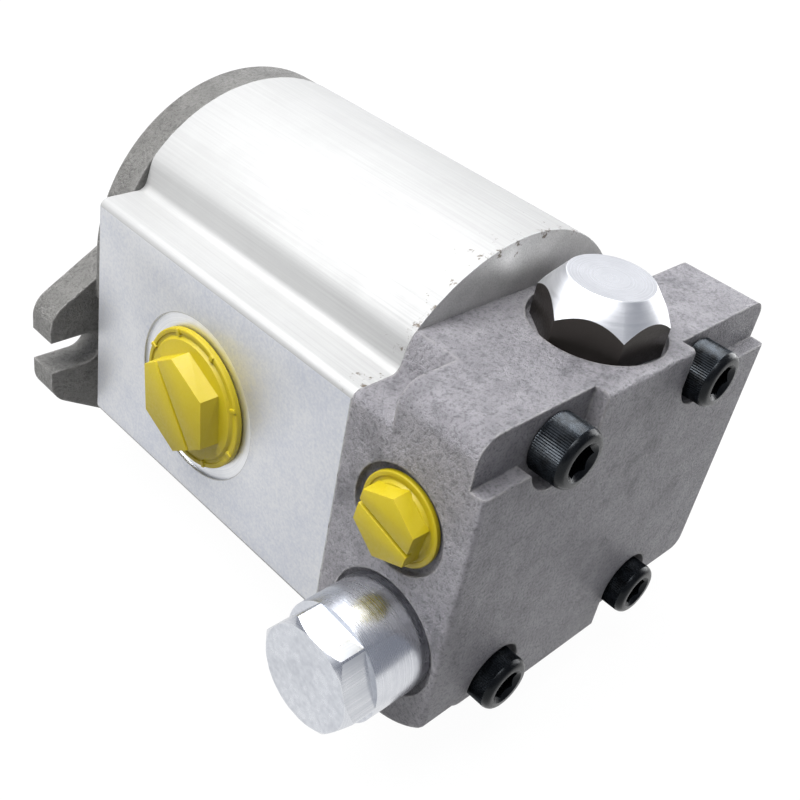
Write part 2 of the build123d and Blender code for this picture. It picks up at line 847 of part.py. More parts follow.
# Radial shaft seal: pressed steel case, rubber lip, garter spring
case_radius = seal_diameter / 2
case_inner = case_radius - seal_case_wall
case_face = seal_front - seal_case_wall
lip_radius = journal_radius + lip_clearance
garter_radius = garter_seat_radius + garter_wire_radius
with BuildPart() as shaft_seal_case:
    with BuildSketch(Plane.YZ):
        add(
            seal_profile(
                [
                    (-seal_seat_depth, case_radius),
                    (seal_front, case_radius),
                    (seal_front, garter_seat_radius),
                    (case_face, garter_seat_radius),
                    (case_face, case_inner),
                    (-seal_seat_depth, case_inner),
                ]
            )
        )
    revolve(axis=drive_axis)

with BuildPart() as shaft_seal_lip:
    with BuildSketch(Plane.YZ):
        add(
            seal_profile(
                [
                    (case_face, case_inner),
                    (case_face, lip_radius + lip_root_thickness),
                    (-lip_edge_depth, lip_radius),
                    (-lip_back_depth, lip_radius + lip_back_thickness),
                    (-lip_back_depth, garter_seat_radius),
                    (-lip_shoulder_depth, garter_seat_radius),
                    (0, garter_seat_radius + lip_shoulder_height),
                    (0, case_inner),
                ]
            )
        )
    revolve(axis=drive_axis)

with BuildPart() as shaft_seal_spring:
    with BuildSketch(Plane.YZ):
        with Locations((-garter_depth, garter_radius)):
            Circle(garter_wire_radius)
    revolve(axis=drive_axis)

# Retaining ring in front of the seal, open at the bottom between its lugs
ring_outer = seal_bore_radius + ring_groove_depth - ring_clearance
lug_x = ring_gap / 2 + ring_lug_radius
lug_circle = seal_bore_radius - ring_lug_radius - seat_clearance
lug_z = -sqrt(lug_circle**2 - lug_x**2)
with BuildPart() as seal_retaining_ring:
    with BuildSketch(behind(-ring_front)):
        Circle(ring_outer)
        Circle(ring_outer - ring_radial_width, mode=Mode.SUBTRACT)
        Rectangle(ring_gap, 2 * ring_outer, align=(Align.CENTER, Align.MAX), mode=Mode.SUBTRACT)
        with Locations((-lug_x, lug_z), (lug_x, lug_z)):
            Circle(ring_lug_radius)
            Circle(ring_lug_hole, mode=Mode.SUBTRACT)
    extrude(amount=ring_thickness)

# Relief cap: hexagon milled in a round bar, stub with a seal groove, bored for the spring
cap_stub_radius = relief_thread_diameter / 2 - thread_clearance
cap_bore_end = cap_end_wall - cap_reach
cap_stub_end = relief_recess_depth + cap_stub_length
with BuildPart() as relief_cap:
    with BuildSketch(from_left(relief_depth, relief_z, relief_recess_depth)):
        Circle(cap_bar_diameter / 2)
    extrude(amount=relief_recess_depth + cap_reach)
    chamfer(relief_cap.edges().sort_by(Axis.X)[0], cap_end_chamfer)
    with BuildSketch(from_left(relief_depth, relief_z, -cap_reach)):
        Circle(cap_bar_diameter)
        RegularPolygon(
            cap_hex_width / 2,
            6,
            major_radius=False,
            rotation=cap_hex_turn,
            mode=Mode.SUBTRACT,
        )
    extrude(amount=-cap_hex_length, mode=Mode.SUBTRACT)
    with BuildSketch(from_left(relief_depth, relief_z, relief_recess_depth)):
        Circle(cap_stub_radius)
    extrude(amount=-cap_stub_length)
    with BuildSketch(from_left(relief_depth, relief_z, relief_recess_depth)):
        Circle(cap_stub_radius)
        Circle(cap_stub_radius - cap_seal_section, mode=Mode.SUBTRACT)
    extrude(amount=-cap_seal_section, mode=Mode.SUBTRACT)
    with BuildSketch(from_left(relief_depth, relief_z, cap_stub_end)):
        Circle(cap_spring_bore / 2)
    extrude(amount=cap_stub_end - cap_bore_end, mode=Mode.SUBTRACT)

with BuildPart() as relief_cap_seal:
    with Locations(from_left(relief_depth, relief_z, relief_recess_depth + cap_seal_section)):
        add(o_ring(cap_stub_radius - cap_seal_section / 2, cap_seal_section))

# Relief valve inside the cap, from the closed end of its bore to the seat
shim_face = cap_bore_end + shim_thickness
with BuildPart() as relief_shim:
    with Locations(from_left(relief_depth, relief_z, shim_face)):
        add(ring_solid(relief_wire_radius, shim_diameter / 2, shim_thickness))

with BuildPart() as relief_spring:
    with Locations(from_left(relief_depth, relief_z, poppet_back)):
        add(
            spring_solid(
                relief_spring_radius,
                relief_wire_radius,
                poppet_back - shim_face,
                relief_spring_turns,
            )
        )

with BuildPart() as relief_poppet:
    with BuildSketch(across_relief(poppet_back)):
        with BuildLine():
            Polyline(
                (0, 0),
                (0, poppet_diameter / 2),
                (poppet_length - poppet_cone_length, poppet_diameter / 2),
                (poppet_length - poppet_cone_length, poppet_shoulder_diameter / 2),
                (poppet_length, poppet_tip_diameter / 2),
                (poppet_length, 0),
                close=True,
            )
        make_face()
    revolve(axis=relief_axis)

with BuildPart() as relief_seat:
    with Locations(from_left(relief_depth, relief_z, relief_bore_end)):
        add(ring_solid(relief_seat_bore / 2, poppet_diameter / 2, relief_seat_length))

# Top plug: hexagon with its top turned to a cone, stub with a seal groove
plug_corner_radius = top_plug_hex_width / sqrt(3)
cone_run = top_plug_cone_overrun * (plug_corner_radius - top_plug_disc_diameter / 2)
cone_drop = top_plug_cone_overrun * top_plug_cone_height
top_stub_radius = top_thread_diameter / 2 - thread_clearance
top_stub_end = top_recess_z - top_plug_stub_length
with BuildPart() as top_plug:
    with BuildSketch(upright(top_recess_z)):
        RegularPolygon(top_plug_hex_width / 2, 6, major_radius=False, rotation=top_plug_hex_turn)
    extrude(amount=top_recess_depth + top_plug_reach)
    with BuildSketch(across_spool(cover_top_z + top_plug_reach)):
        with BuildLine():
            Polyline(
                (top_plug_disc_diameter / 2, 0),
                (top_plug_disc_diameter / 2 + cone_run, -cone_drop),
                (top_plug_disc_diameter / 2 + cone_run, 0),
                close=True,
            )
        make_face()
    revolve(axis=spool_axis, mode=Mode.SUBTRACT)
    with BuildSketch(upright(top_recess_z)):
        Circle(top_stub_radius)
    extrude(amount=-top_plug_stub_length)
    with BuildSketch(upright(top_recess_z)):
        Circle(top_stub_radius)
        Circle(top_stub_radius - top_seal_section, mode=Mode.SUBTRACT)
    extrude(amount=-top_seal_section, mode=Mode.SUBTRACT)

with BuildPart() as top_plug_seal:
    with Locations(upright(top_recess_z - top_seal_section)):
        add(o_ring(top_stub_radius - top_seal_section / 2, top_seal_section))

# Priority spool, resting at the bottom of its bore, and the spring in its pocket
spool_neck_top = spool_land_height + spool_neck_height
spool_pocket_floor = spool_length - spool_pocket_depth
with BuildPart() as priority_spool:
    with BuildSketch(across_spool(spool_bottom_z)):
        with BuildLine():
            Polyline(
                (0, 0),
                (spool_diameter / 2, 0),
                (spool_diameter / 2, spool_land_height),
                (spool_neck_diameter / 2, spool_land_height),
                (spool_neck_diameter / 2, spool_neck_top),
                (spool_diameter / 2, spool_neck_top),
                (spool_diameter / 2, spool_length),
                (spool_pocket_diameter / 2, spool_length),
                (spool_pocket_diameter / 2, spool_pocket_floor),
                (0, spool_pocket_floor),
                close=True,
            )
        make_face()
    revolve(axis=spool_axis)

with BuildPart() as spool_spring:
    with Locations(upright(spool_bottom_z + spool_pocket_floor)):
        add(
            spring_solid(
                spool_spring_radius,
                spool_wire_radius,
                top_stub_end - spool_bottom_z - spool_pocket_floor,
                spool_spring_turns,
            )
        )

# Transport plugs: pressure port, small port in the cover, inlet port
with BuildPart() as body_port_plug:
    with Locations(from_left(port_depth, port_z, left_port_face_depth - plug_seat_gap)):
        add(
            transport_plug(
                left_port_diameter - 2 * plug_clearance,
                body_plug_stub,
                body_plug_collar,
                body_plug_collar_height,
                body_plug_hex,
                body_plug_height - plug_seat_gap,
                body_plug_turn,
                body_plug_slot_turn,
            )
        )

with BuildPart() as cover_port_plug:
    with Locations(from_left(cover_port_depth, cover_port_z, cover_port_face_depth - plug_seat_gap)):
        add(
            transport_plug(
                cover_port_diameter - 2 * plug_clearance,
                cover_plug_stub,
                cover_plug_collar,
                cover_plug_collar_height,
                cover_plug_hex,
                cover_plug_height - plug_seat_gap,
                cover_plug_turn,
                cover_plug_slot_turn,
            )
        )

with BuildPart() as inlet_port_plug:
    with Locations(from_right(port_depth, port_z, inlet_port_face_depth - plug_seat_gap)):
        add(
            transport_plug(
                inlet_port_diameter - 2 * plug_clearance,
                inlet_plug_stub,
                inlet_plug_collar,
                inlet_plug_collar_height,
                inlet_plug_hex,
                inlet_plug_height - plug_seat_gap,
                body_plug_turn,
                body_plug_slot_turn,
            )
        )

os.makedirs("parts", exist_ok=True)
front_flange.part.label = "front_flange"
export_step(front_flange.part, "parts/front_flange.step")
pump_body.part.label = "pump_body"
export_step(pump_body.part, "parts/pump_body.step")
rear_cover.part.label = "rear_cover"
export_step(rear_cover.part, "parts/rear_cover.step")
cover_screws.part.label = "cover_screws"
export_step(cover_screws.part, "parts/cover_screws.step")
dowel_sleeves.part.label = "dowel_sleeves"
export_step(dowel_sleeves.part, "parts/dowel_sleeves.step")
drive_gear_shaft.part.label = "drive_gear_shaft"
export_step(drive_gear_shaft.part, "parts/drive_gear_shaft.step")
shaft_key.part.label = "shaft_key"
export_step(shaft_key.part, "parts/shaft_key.step")
driven_gear_shaft.part.label = "driven_gear_shaft"
export_step(driven_gear_shaft.part, "parts/driven_gear_shaft.step")
front_bearing_block.part.label = "front_bearing_block"
export_step(front_bearing_block.part, "parts/front_bearing_block.step")
rear_bearing_block.part.label = "rear_bearing_block"
export_step(rear_bearing_block.part, "parts/rear_bearing_block.step")
bearing_bushes.part.label = "bearing_bushes"
export_step(bearing_bushes.part, "parts/bearing_bushes.step")
front_body_seal.part.label = "front_body_seal"
export_step(front_body_seal.part, "parts/front_body_seal.step")
rear_body_seal.part.label = "rear_body_seal"
export_step(rear_body_seal.part, "parts/rear_body_seal.step")
block_seals.part.label = "block_seals"
export_step(block_seals.part, "parts/block_seals.step")
block_backup_strips.part.label = "block_backup_strips"
export_step(block_backup_strips.part, "parts/block_backup_strips.step")
shaft_seal_case.part.label = "shaft_seal_case"
export_step(shaft_seal_case.part, "parts/shaft_seal_case.step")
shaft_seal_lip.part.label = "shaft_seal_lip"
export_step(shaft_seal_lip.part, "parts/shaft_seal_lip.step")
shaft_seal_spring.part.label = "shaft_seal_spring"
export_step(shaft_seal_spring.part, "parts/shaft_seal_spring.step")
seal_retaining_ring.part.label = "seal_retaining_ring"
export_step(seal_retaining_ring.part, "parts/seal_retaining_ring.step")
relief_cap.part.label = "relief_cap"
export_step(relief_cap.part, "parts/relief_cap.step")
relief_cap_seal.part.label = "relief_cap_seal"
export_step(relief_cap_seal.part, "parts/relief_cap_seal.step")
relief_shim.part.label = "relief_shim"
export_step(relief_shim.part, "parts/relief_shim.step")
relief_spring.part.label = "relief_spring"
export_step(relief_spring.part, "parts/relief_spring.step")
relief_poppet.part.label = "relief_poppet"
export_step(relief_poppet.part, "parts/relief_poppet.step")
relief_seat.part.label = "relief_seat"
export_step(relief_seat.part, "parts/relief_seat.step")
top_plug.part.label = "top_plug"
export_step(top_plug.part, "parts/top_plug.step")
top_plug_seal.part.label = "top_plug_seal"
export_step(top_plug_seal.part, "parts/top_plug_seal.step")
priority_spool.part.label = "priority_spool"
export_step(priority_spool.part, "parts/priority_spool.step")
spool_spring.part.label = "spool_spring"
export_step(spool_spring.part, "parts/spool_spring.step")
body_port_plug.part.label = "body_port_plug"
export_step(body_port_plug.part, "parts/body_port_plug.step")
cover_port_plug.part.label = "cover_port_plug"
export_step(cover_port_plug.part, "parts/cover_port_plug.step")
inlet_port_plug.part.label = "inlet_port_plug"
export_step(inlet_port_plug.part, "parts/inlet_port_plug.step")
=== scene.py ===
import logging
import math
from collections.abc import Callable, Iterator, Sequence
from contextlib import contextmanager
from dataclasses import dataclass
from enum import Enum
from typing import ClassVar

import bpy
from mathutils import Matrix, Vector


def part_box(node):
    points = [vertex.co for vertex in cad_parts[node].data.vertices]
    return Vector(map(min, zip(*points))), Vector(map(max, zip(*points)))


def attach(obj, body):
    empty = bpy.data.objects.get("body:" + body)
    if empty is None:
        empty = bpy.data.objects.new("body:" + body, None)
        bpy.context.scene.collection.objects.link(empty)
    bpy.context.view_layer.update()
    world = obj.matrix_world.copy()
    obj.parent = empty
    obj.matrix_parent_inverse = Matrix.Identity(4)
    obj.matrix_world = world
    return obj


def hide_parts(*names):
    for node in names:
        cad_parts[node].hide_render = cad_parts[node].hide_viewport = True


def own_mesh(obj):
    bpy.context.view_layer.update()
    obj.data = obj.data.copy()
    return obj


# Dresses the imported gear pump. Blender works in metres and the sizes below are in
# millimetres, so each is multiplied by MM where it meets a mesh or a material.
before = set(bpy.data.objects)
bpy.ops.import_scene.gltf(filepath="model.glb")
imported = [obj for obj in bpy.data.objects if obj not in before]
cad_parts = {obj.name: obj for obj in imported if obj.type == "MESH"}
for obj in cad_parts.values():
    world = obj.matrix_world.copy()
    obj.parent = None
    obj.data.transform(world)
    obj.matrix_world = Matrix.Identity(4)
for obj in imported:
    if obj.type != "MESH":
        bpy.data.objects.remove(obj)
LOG = logging.getLogger("gear_pump")
MM = 0.001

# Millimetres in a metre. A noise texture's Scale is this over the size of its features.
METRE = 1000

# Angle in degrees from which an edge counts as sharp
SHARP = 32.0

# Middles of the gears, the side ports and the two valves, in mm
DRIVE_CENTRE = (0, 0, 0)
DRIVEN_CENTRE = (0, 0, 40.8)
PORT_CENTRE = (0, -69.2, 19.2)
RELIEF_CENTRE = (0, -149, -2.6)
SPOOL_CENTRE = (6.3, -147, 0)

# A test on the middle of a part of a mesh, in mm, and on its normal or its direction
Test = Callable[[Vector, Vector], bool]

# Height and radius of a circle, in mm
Step = tuple[float, float]


# Modelling

class Grip(Enum):
    """What is selected in edit mode."""

    VERTS = (True, False, False)
    EDGES = (False, True, False)
    FACES = (False, False, True)


class Facing(Enum):
    """Where a piece's own +Z points in the pump: its X, Y and Z directions there."""

    LEFT = ((0, -1, 0), (0, 0, 1), (-1, 0, 0))
    RIGHT = ((0, 1, 0), (0, 0, 1), (1, 0, 0))
    REAR = ((1, 0, 0), (0, 0, 1), (0, -1, 0))
    FRONT = ((-1, 0, 0), (0, 0, 1), (0, 1, 0))
    UP = ((1, 0, 0), (0, 1, 0), (0, 0, 1))

    def along(self) -> int:
        """Number of the pump's axis that the piece points along."""
        return [abs(part) for part in self.value[2]].index(1)


def pick(piece: bpy.types.Object) -> None:
    """Selects one object alone and makes it the active one."""
    bpy.ops.object.select_all(action="DESELECT")
    piece.select_set(True)
    bpy.context.view_layer.objects.active = piece


def choose(piece: bpy.types.Object, grip: Grip, wanted: Test | None) -> None:
    """Selects parts of a mesh for the next edit, and nothing else.

    Args:
        piece: The object whose mesh is edited.
        grip: The kind of part.
        wanted: The test that a part has to pass. All are selected where there is none.
    """
    mesh = piece.data
    for parts in (mesh.vertices, mesh.edges, mesh.polygons):
        parts.foreach_set("select", [False] * len(parts))
    if grip is Grip.VERTS:
        found = [(part, part.co, part.normal) for part in mesh.vertices]
    elif grip is Grip.FACES:
        found = [(part, part.center, part.normal) for part in mesh.polygons]
    else:
        ends = [[mesh.vertices[i].co for i in part.vertices] for part in mesh.edges]
        found = [
            (part, (a + b) / 2, (b - a).normalized()) for part, (a, b) in zip(mesh.edges, ends)
        ]
    for part, middle, direction in found:
        part.select = wanted is None or wanted(middle / MM, direction)


@contextmanager
def edit(piece: bpy.types.Object, grip: Grip, wanted: Test | None = None) -> Iterator[None]:
    """Opens a piece in edit mode with part of it selected.

    Args:
        piece: The object to edit.
        grip: The kind of part that is selected.
        wanted: The test that choose() takes.
    """
    pick(piece)
    bpy.context.tool_settings.mesh_select_mode = grip.value
    choose(piece, grip, wanted)
    bpy.ops.object.mode_set(mode="EDIT")
    try:
        yield
    finally:
        bpy.ops.object.mode_set(mode="OBJECT")


def apply_modifier(piece: bpy.types.Object, kind: str, **settings: object) -> None:
    """Adds a modifier to a piece, sets it and applies it.

    Args:
        piece: The object to change.
        kind: Blender's name of the modifier.
        settings: The modifier's own properties.
    """
    pick(piece)
    bpy.ops.object.modifier_add(type=kind)
    modifier = piece.modifiers[-1]
    for name, value in settings.items():
        setattr(modifier, name, value)
    bpy.ops.object.modifier_apply(modifier=modifier.name)


def combine(piece: bpy.types.Object, tool: bpy.types.Object, operation: str) -> None:
    """Cuts a tool out of a piece, adds it, or keeps what both share, and removes the tool."""
    apply_modifier(piece, "BOOLEAN", object=tool, operation=operation, solver="EXACT")
    bpy.data.meshes.remove(tool.data)


def turn_up(
    name: str, steps: Sequence[Step], sides: int = 96, turn: float = 0.0
) -> bpy.types.Object:
    """Draws a solid up +Z from a disc, which is moved and scaled to each step in turn.

    Args:
        name: The object's name.
        steps: Its circles from the lowest up. Two of one height make a flat step.
        sides: Number of sides, so 6 makes a hexagon with its corners on the radius.
        turn: Angle in degrees of the first corner from +X.

    Returns:
        A closed solid about the Z axis.
    """
    height, radius = steps[0]
    bpy.ops.object.select_all(action="DESELECT")
    bpy.ops.mesh.primitive_circle_add(
        vertices=sides,
        radius=radius * MM,
        fill_type="NGON",
        location=(0, 0, height * MM),
        rotation=(0, 0, math.radians(turn - 90)),
    )
    solid = bpy.context.object
    solid.name = solid.data.name = name
    bpy.ops.object.transform_apply(location=True, rotation=True, scale=True)
    with edit(solid, Grip.FACES):
        for next_height, next_radius in steps[1:]:
            rise = {"value": (0, 0, (next_height - height) * MM)}
            bpy.ops.mesh.extrude_region_move(TRANSFORM_OT_translate=rise)
            factor = next_radius / radius
            middle = (0, 0, next_height * MM)
            bpy.ops.transform.resize(value=(factor, factor, 1), center_override=middle)
            height, radius = next_height, next_radius
        bpy.ops.mesh.select_all(action="SELECT")
        bpy.ops.mesh.normals_make_consistent(inside=False)
    return solid


def corner_radius(across: float) -> float:
    """Radius to a hexagon's corners from its width across flats, both in mm."""
    return across / math.sqrt(3)


def stub_steps(radius: float, length: float, groove: float, chamfer: float = 0.8) -> list[Step]:
    """Steps of a plug's stub, from its end up to the groove of its sealing ring.

    Args:
        radius: The stub's radius in mm.
        length: How far it reaches below its seat in mm.
        groove: The groove's depth and height in mm.
        chamfer: The chamfer of its end in mm.

    Returns:
        The steps, from the lowest up.
    """
    return [
        (-length, radius - chamfer),
        (-length + chamfer, radius),
        (-groove, radius),
        (-groove, radius - groove),
    ]


def bar(
    name: str, size: tuple[float, float, float], middle: tuple[float, float, float], turn: float
) -> bpy.types.Object:
    """Models a straight bar, to add to a piece or to cut from it.

    Args:
        name: The object's name.
        size: Its length, width and height in mm.
        middle: Its middle in mm.
        turn: Angle in degrees of its length from +X.

    Returns:
        The bar.
    """
    bpy.ops.object.select_all(action="DESELECT")
    bpy.ops.mesh.primitive_cube_add(
        size=1,
        location=[part * MM for part in middle],
        rotation=(0, 0, math.radians(turn)),
        scale=[part * MM for part in size],
    )
    block = bpy.context.object
    block.name = block.data.name = name
    bpy.ops.object.transform_apply(location=True, rotation=True, scale=True)
    return block


def seat(
    piece: bpy.types.Object, facing: Facing, middle: Vector, spin: float = 0.0
) -> bpy.types.Object:
    """Carries a piece from its own axes to its place in the pump, with its place in its mesh.

    Args:
        piece: A piece modelled about +Z.
        facing: Where its +Z goes.
        middle: Where its origin goes, in metres.
        spin: Turn about its own axis in degrees before that.

    Returns:
        The piece.
    """
    turn = Matrix(facing.value).transposed().to_4x4()
    spun = Matrix.Rotation(math.radians(spin), 4, "Z")
    piece.matrix_world = Matrix.Translation(middle) @ turn @ spun
    pick(piece)
    bpy.ops.object.transform_apply(location=True, rotation=True, scale=True)
    return piece


def soften(piece: bpy.types.Object, width: float, angle: float) -> None:
    """Rounds every edge of a piece that is sharper than an angle, by a width in mm."""
    apply_modifier(
        piece,
        "BEVEL",
        width=width * MM,
        segments=2,
        limit_method="ANGLE",
        angle_limit=math.radians(angle),
        use_clamp_overlap=True,
    )


def smooth(piece: bpy.types.Object, angle: float = SHARP) -> None:
    """Shades a piece smooth, except over edges sharper than an angle."""
    pick(piece)
    bpy.ops.object.shade_smooth_by_angle(angle=math.radians(angle))


def copy_node(node: str, name: str) -> bpy.types.Object:
    """Copies a CAD node's mesh, joins its loose triangles and clears its flat edges.

    Args:
        node: The CAD node's name.
        name: The new piece's name.

    Returns:
        The copy, which stands for the node.
    """
    touching, flat = 0.002, 0.3
    piece = bpy.data.objects.new(name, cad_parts[node].data.copy())
    piece.data.name = name
    bpy.context.scene.collection.objects.link(piece)
    piece.data.materials.clear()
    pick(piece)
    bpy.ops.mesh.customdata_custom_splitnormals_clear()
    with edit(piece, Grip.VERTS):
        bpy.ops.mesh.remove_doubles(threshold=touching * MM)
        bpy.ops.mesh.dissolve_limited(angle_limit=math.radians(flat))
    return piece


def round_some(piece: bpy.types.Object, width: float, wanted: Test) -> None:
    """Rounds those sharp edges of a piece that pass a test.

    Args:
        piece: The piece to change.
        width: Width of the rounding in mm.
        wanted: The test, on an edge's middle and its direction.
    """
    mesh = piece.data
    faces = {}
    for face in mesh.polygons:
        for key in face.edge_keys:
            faces.setdefault(key, []).append(face.normal)
    layer = mesh.attributes.new("bevel_weight_edge", "FLOAT", "EDGE")
    for edge in mesh.edges:
        normals = faces.get(edge.key, [])
        sharp = len(normals) == 2 and normals[0].angle(normals[1], 0.0) > math.radians(SHARP)
        a, b = (mesh.vertices[i].co for i in edge.vertices)
        chosen = sharp and wanted((a + b) / 2 / MM, (b - a).normalized())
        layer.data[edge.index].value = 1.0 if chosen else 0.0
    apply_modifier(
        piece,
        "BEVEL",
        width=width * MM,
        segments=2,
        limit_method="WEIGHT",
        use_clamp_overlap=False,
    )


# Finishes

def linear(code: str) -> tuple[float, float, float, float]:
    """Turns an sRGB hex colour into Blender's linear one."""
    parts = [int(code[i : i + 2], 16) / 255 for i in (1, 3, 5)]
    return (
        *[part / 12.92 if part <= 0.04045 else ((part + 0.055) / 1.055) ** 2.4 for part in parts],
        1.0,
    )


def add_node(
    tree: bpy.types.NodeTree,
    kind: str,
    sockets: dict[str | int, object] | None = None,
    **settings: object,
) -> bpy.types.Node:
    """Adds a node with its settings and links.

    Args:
        tree: The node tree that it joins.
        kind: Blender's name of the node.
        sockets: For an input's name or number, its value, or the output that is linked to it,
            or the node whose first output is.
        settings: The node's own properties.

    Returns:
        The node.
    """
    node = tree.nodes.new(kind)
    for name, value in settings.items():
        setattr(node, name, value)
    for key, value in (sockets or {}).items():
        source = value.outputs[0] if isinstance(value, bpy.types.Node) else value
        if isinstance(source, bpy.types.NodeSocket):
            tree.links.new(source, node.inputs[key])
        else:
            node.inputs[key].default_value = source
    return node


def worn_edges(tree: bpy.types.NodeTree, width: float, share: float) -> bpy.types.Node:
    """Adds a mask of a piece's edges, broken up as wear is.

    Args:
        tree: The node tree that it joins.
        width: How far the wear reaches from an edge, in mm.
        share: The mask's value where the wear is full.

    Returns:
        The node that gives the mask.
    """
    break_width = 2.5
    rounded = add_node(tree, "ShaderNodeBevel", {"Radius": width * MM}, samples=4)
    flat = add_node(tree, "ShaderNodeNewGeometry").outputs["Normal"]
    alike = add_node(
        tree, "ShaderNodeVectorMath", {0: rounded, 1: flat}, operation="DOT_PRODUCT"
    ).outputs["Value"]
    place = add_node(tree, "ShaderNodeTexCoord").outputs["Object"]
    patches = add_node(
        tree, "ShaderNodeTexNoise", {"Vector": place, "Scale": METRE / break_width, "Detail": 3.0}
    )
    mask, broken = (
        add_node(tree, "ShaderNodeMapRange", {"Value": value, "From Min": none, "From Max": full})
        for value, none, full in ((alike, 0.985, 0.86), (patches, 0.35, 0.6))
    )
    for factor in (broken, share):
        mask = add_node(tree, "ShaderNodeMath", {0: mask, 1: factor}, operation="MULTIPLY")
    return mask


@dataclass(frozen=True)
class Finish:
    """A material of the pump, made once and shared by the pieces that have it."""

    name: str

    def material(self) -> bpy.types.Material:
        """Makes the finish as a material, or finds it where it is made already.

        Returns:
            The material.
        """
        known = bpy.data.materials.get(self.name)
        if known:
            return known
        made = bpy.data.materials.new(self.name)
        made.use_nodes = True
        made.node_tree.nodes.clear()
        surface = self.shade(made.node_tree)
        add_node(made.node_tree, "ShaderNodeOutputMaterial", {"Surface": surface})
        return made

    def shade(self, tree: bpy.types.NodeTree) -> bpy.types.Node:
        """Adds the finish's nodes.

        Args:
            tree: The material's node tree.

        Returns:
            The shader.
        """
        raise NotImplementedError

    def surface(
        self,
        tree: bpy.types.NodeTree,
        gloss: tuple[bpy.types.Node, float, float, float, float],
        bump: dict[str, object],
        sockets: dict[str, object],
    ) -> bpy.types.Node:
        """Joins a varied roughness, bumps and a colour in one shader.

        Args:
            tree: The material's node tree.
            gloss: A pattern, two of its values, and the roughness at each of them.
            bump: The sockets of the bumps.
            sockets: The shader's own sockets.

        Returns:
            The shader.
        """
        pattern, start, end, first, last = gloss
        rough = add_node(
            tree,
            "ShaderNodeMapRange",
            {"Value": pattern, "From Min": start, "From Max": end, "To Min": first, "To Max": last},
        )
        bumps = add_node(tree, "ShaderNodeBump", bump)
        sockets = {**sockets, "Roughness": rough, "Normal": bumps}
        return add_node(tree, "ShaderNodeBsdfPrincipled", sockets)


@dataclass(frozen=True)
class SandCastIron(Finish):
    """Grey iron as it leaves a sand mould: a pebbled skin with dark pits, rubbed bright in places.

    The sand's grains are 0.3 to 0.5 mm. They are drawn up to twice as coarse, so that they show.
    Each mask gives the noise at which it starts and is full, and its value where it is full.
    """

    skin: str = "#8c8a8e"
    pit: str = "#3f3e43"
    rubbed: str = "#c6c3c0"
    grain: float = 0.9
    lump: float = 5.0
    patch: float = 18.0
    pit_mask: tuple[float, float, float] = (0.51, 0.36, 0.62)
    lump_mask: tuple[float, float, float] = (0.35, 0.75, 0.4)
    patch_mask: tuple[float, float, float] = (0.52, 0.64, 0.6)
    pebble_height: float = 0.8
    lump_share: float = 0.9
    rounding: float = 1.4
    wear_width: float = 1.2
    wear: float = 0.5
    metallic: float = 0.25
    roughness: float = 0.38

    def shade(self, tree: bpy.types.NodeTree) -> bpy.types.Node:
        """Adds the finish's nodes.

        Args:
            tree: The material's node tree.

        Returns:
            The shader.
        """
        place = add_node(tree, "ShaderNodeTexCoord").outputs["Object"]
        noises = ((self.grain, 5.0, 0.74), (self.lump, 3.0, 0.5), (self.patch, 7.0, 0.72))
        grain, lump, patch = (
            add_node(
                tree,
                "ShaderNodeTexNoise",
                {"Vector": place, "Scale": METRE / size, "Detail": detail, "Roughness": rough},
            )
            for size, detail, rough in noises
        )
        masks = ((grain, self.pit_mask), (lump, self.lump_mask), (patch, self.patch_mask))
        pits, lumps, patches = (
            add_node(
                tree,
                "ShaderNodeMapRange",
                {"Value": noise, "From Min": start, "From Max": full, "To Max": share},
            )
            for noise, (start, full, share) in masks
        )
        darker = add_node(tree, "ShaderNodeMath", {0: lumps, 1: patches}, operation="MAXIMUM")
        worn = worn_edges(tree, self.wear_width, self.wear)
        colour = linear(self.skin)
        for mask, over in ((darker, self.pit), (pits, self.pit), (worn, self.rubbed)):
            colour = add_node(
                tree, "ShaderNodeMix", {0: mask, 6: colour, 7: linear(over)}, data_type="RGBA"
            ).outputs[2]
        height = add_node(
            tree,
            "ShaderNodeMath",
            {0: lump, 1: self.lump_share, 2: grain},
            operation="MULTIPLY_ADD",
        )
        soft = add_node(tree, "ShaderNodeBevel", {"Radius": self.rounding * MM}, samples=6)
        tall = self.pebble_height * MM
        return self.surface(
            tree,
            (grain, 0.3, 0.7, self.roughness + 0.16, self.roughness - 0.14),
            {"Strength": 1.0, "Distance": tall, "Height": height, "Normal": soft},
            {"Base Color": colour, "Metallic": self.metallic},
        )


class Marks(Enum):
    """Which way the fine lines of a worked surface run."""

    RINGS = "rings about the axis, from a lathe"
    LINES = "lines along the axis, from a die or a grinding wheel"
    SPECKLE = "no lines, from blasting, plating or pressing"


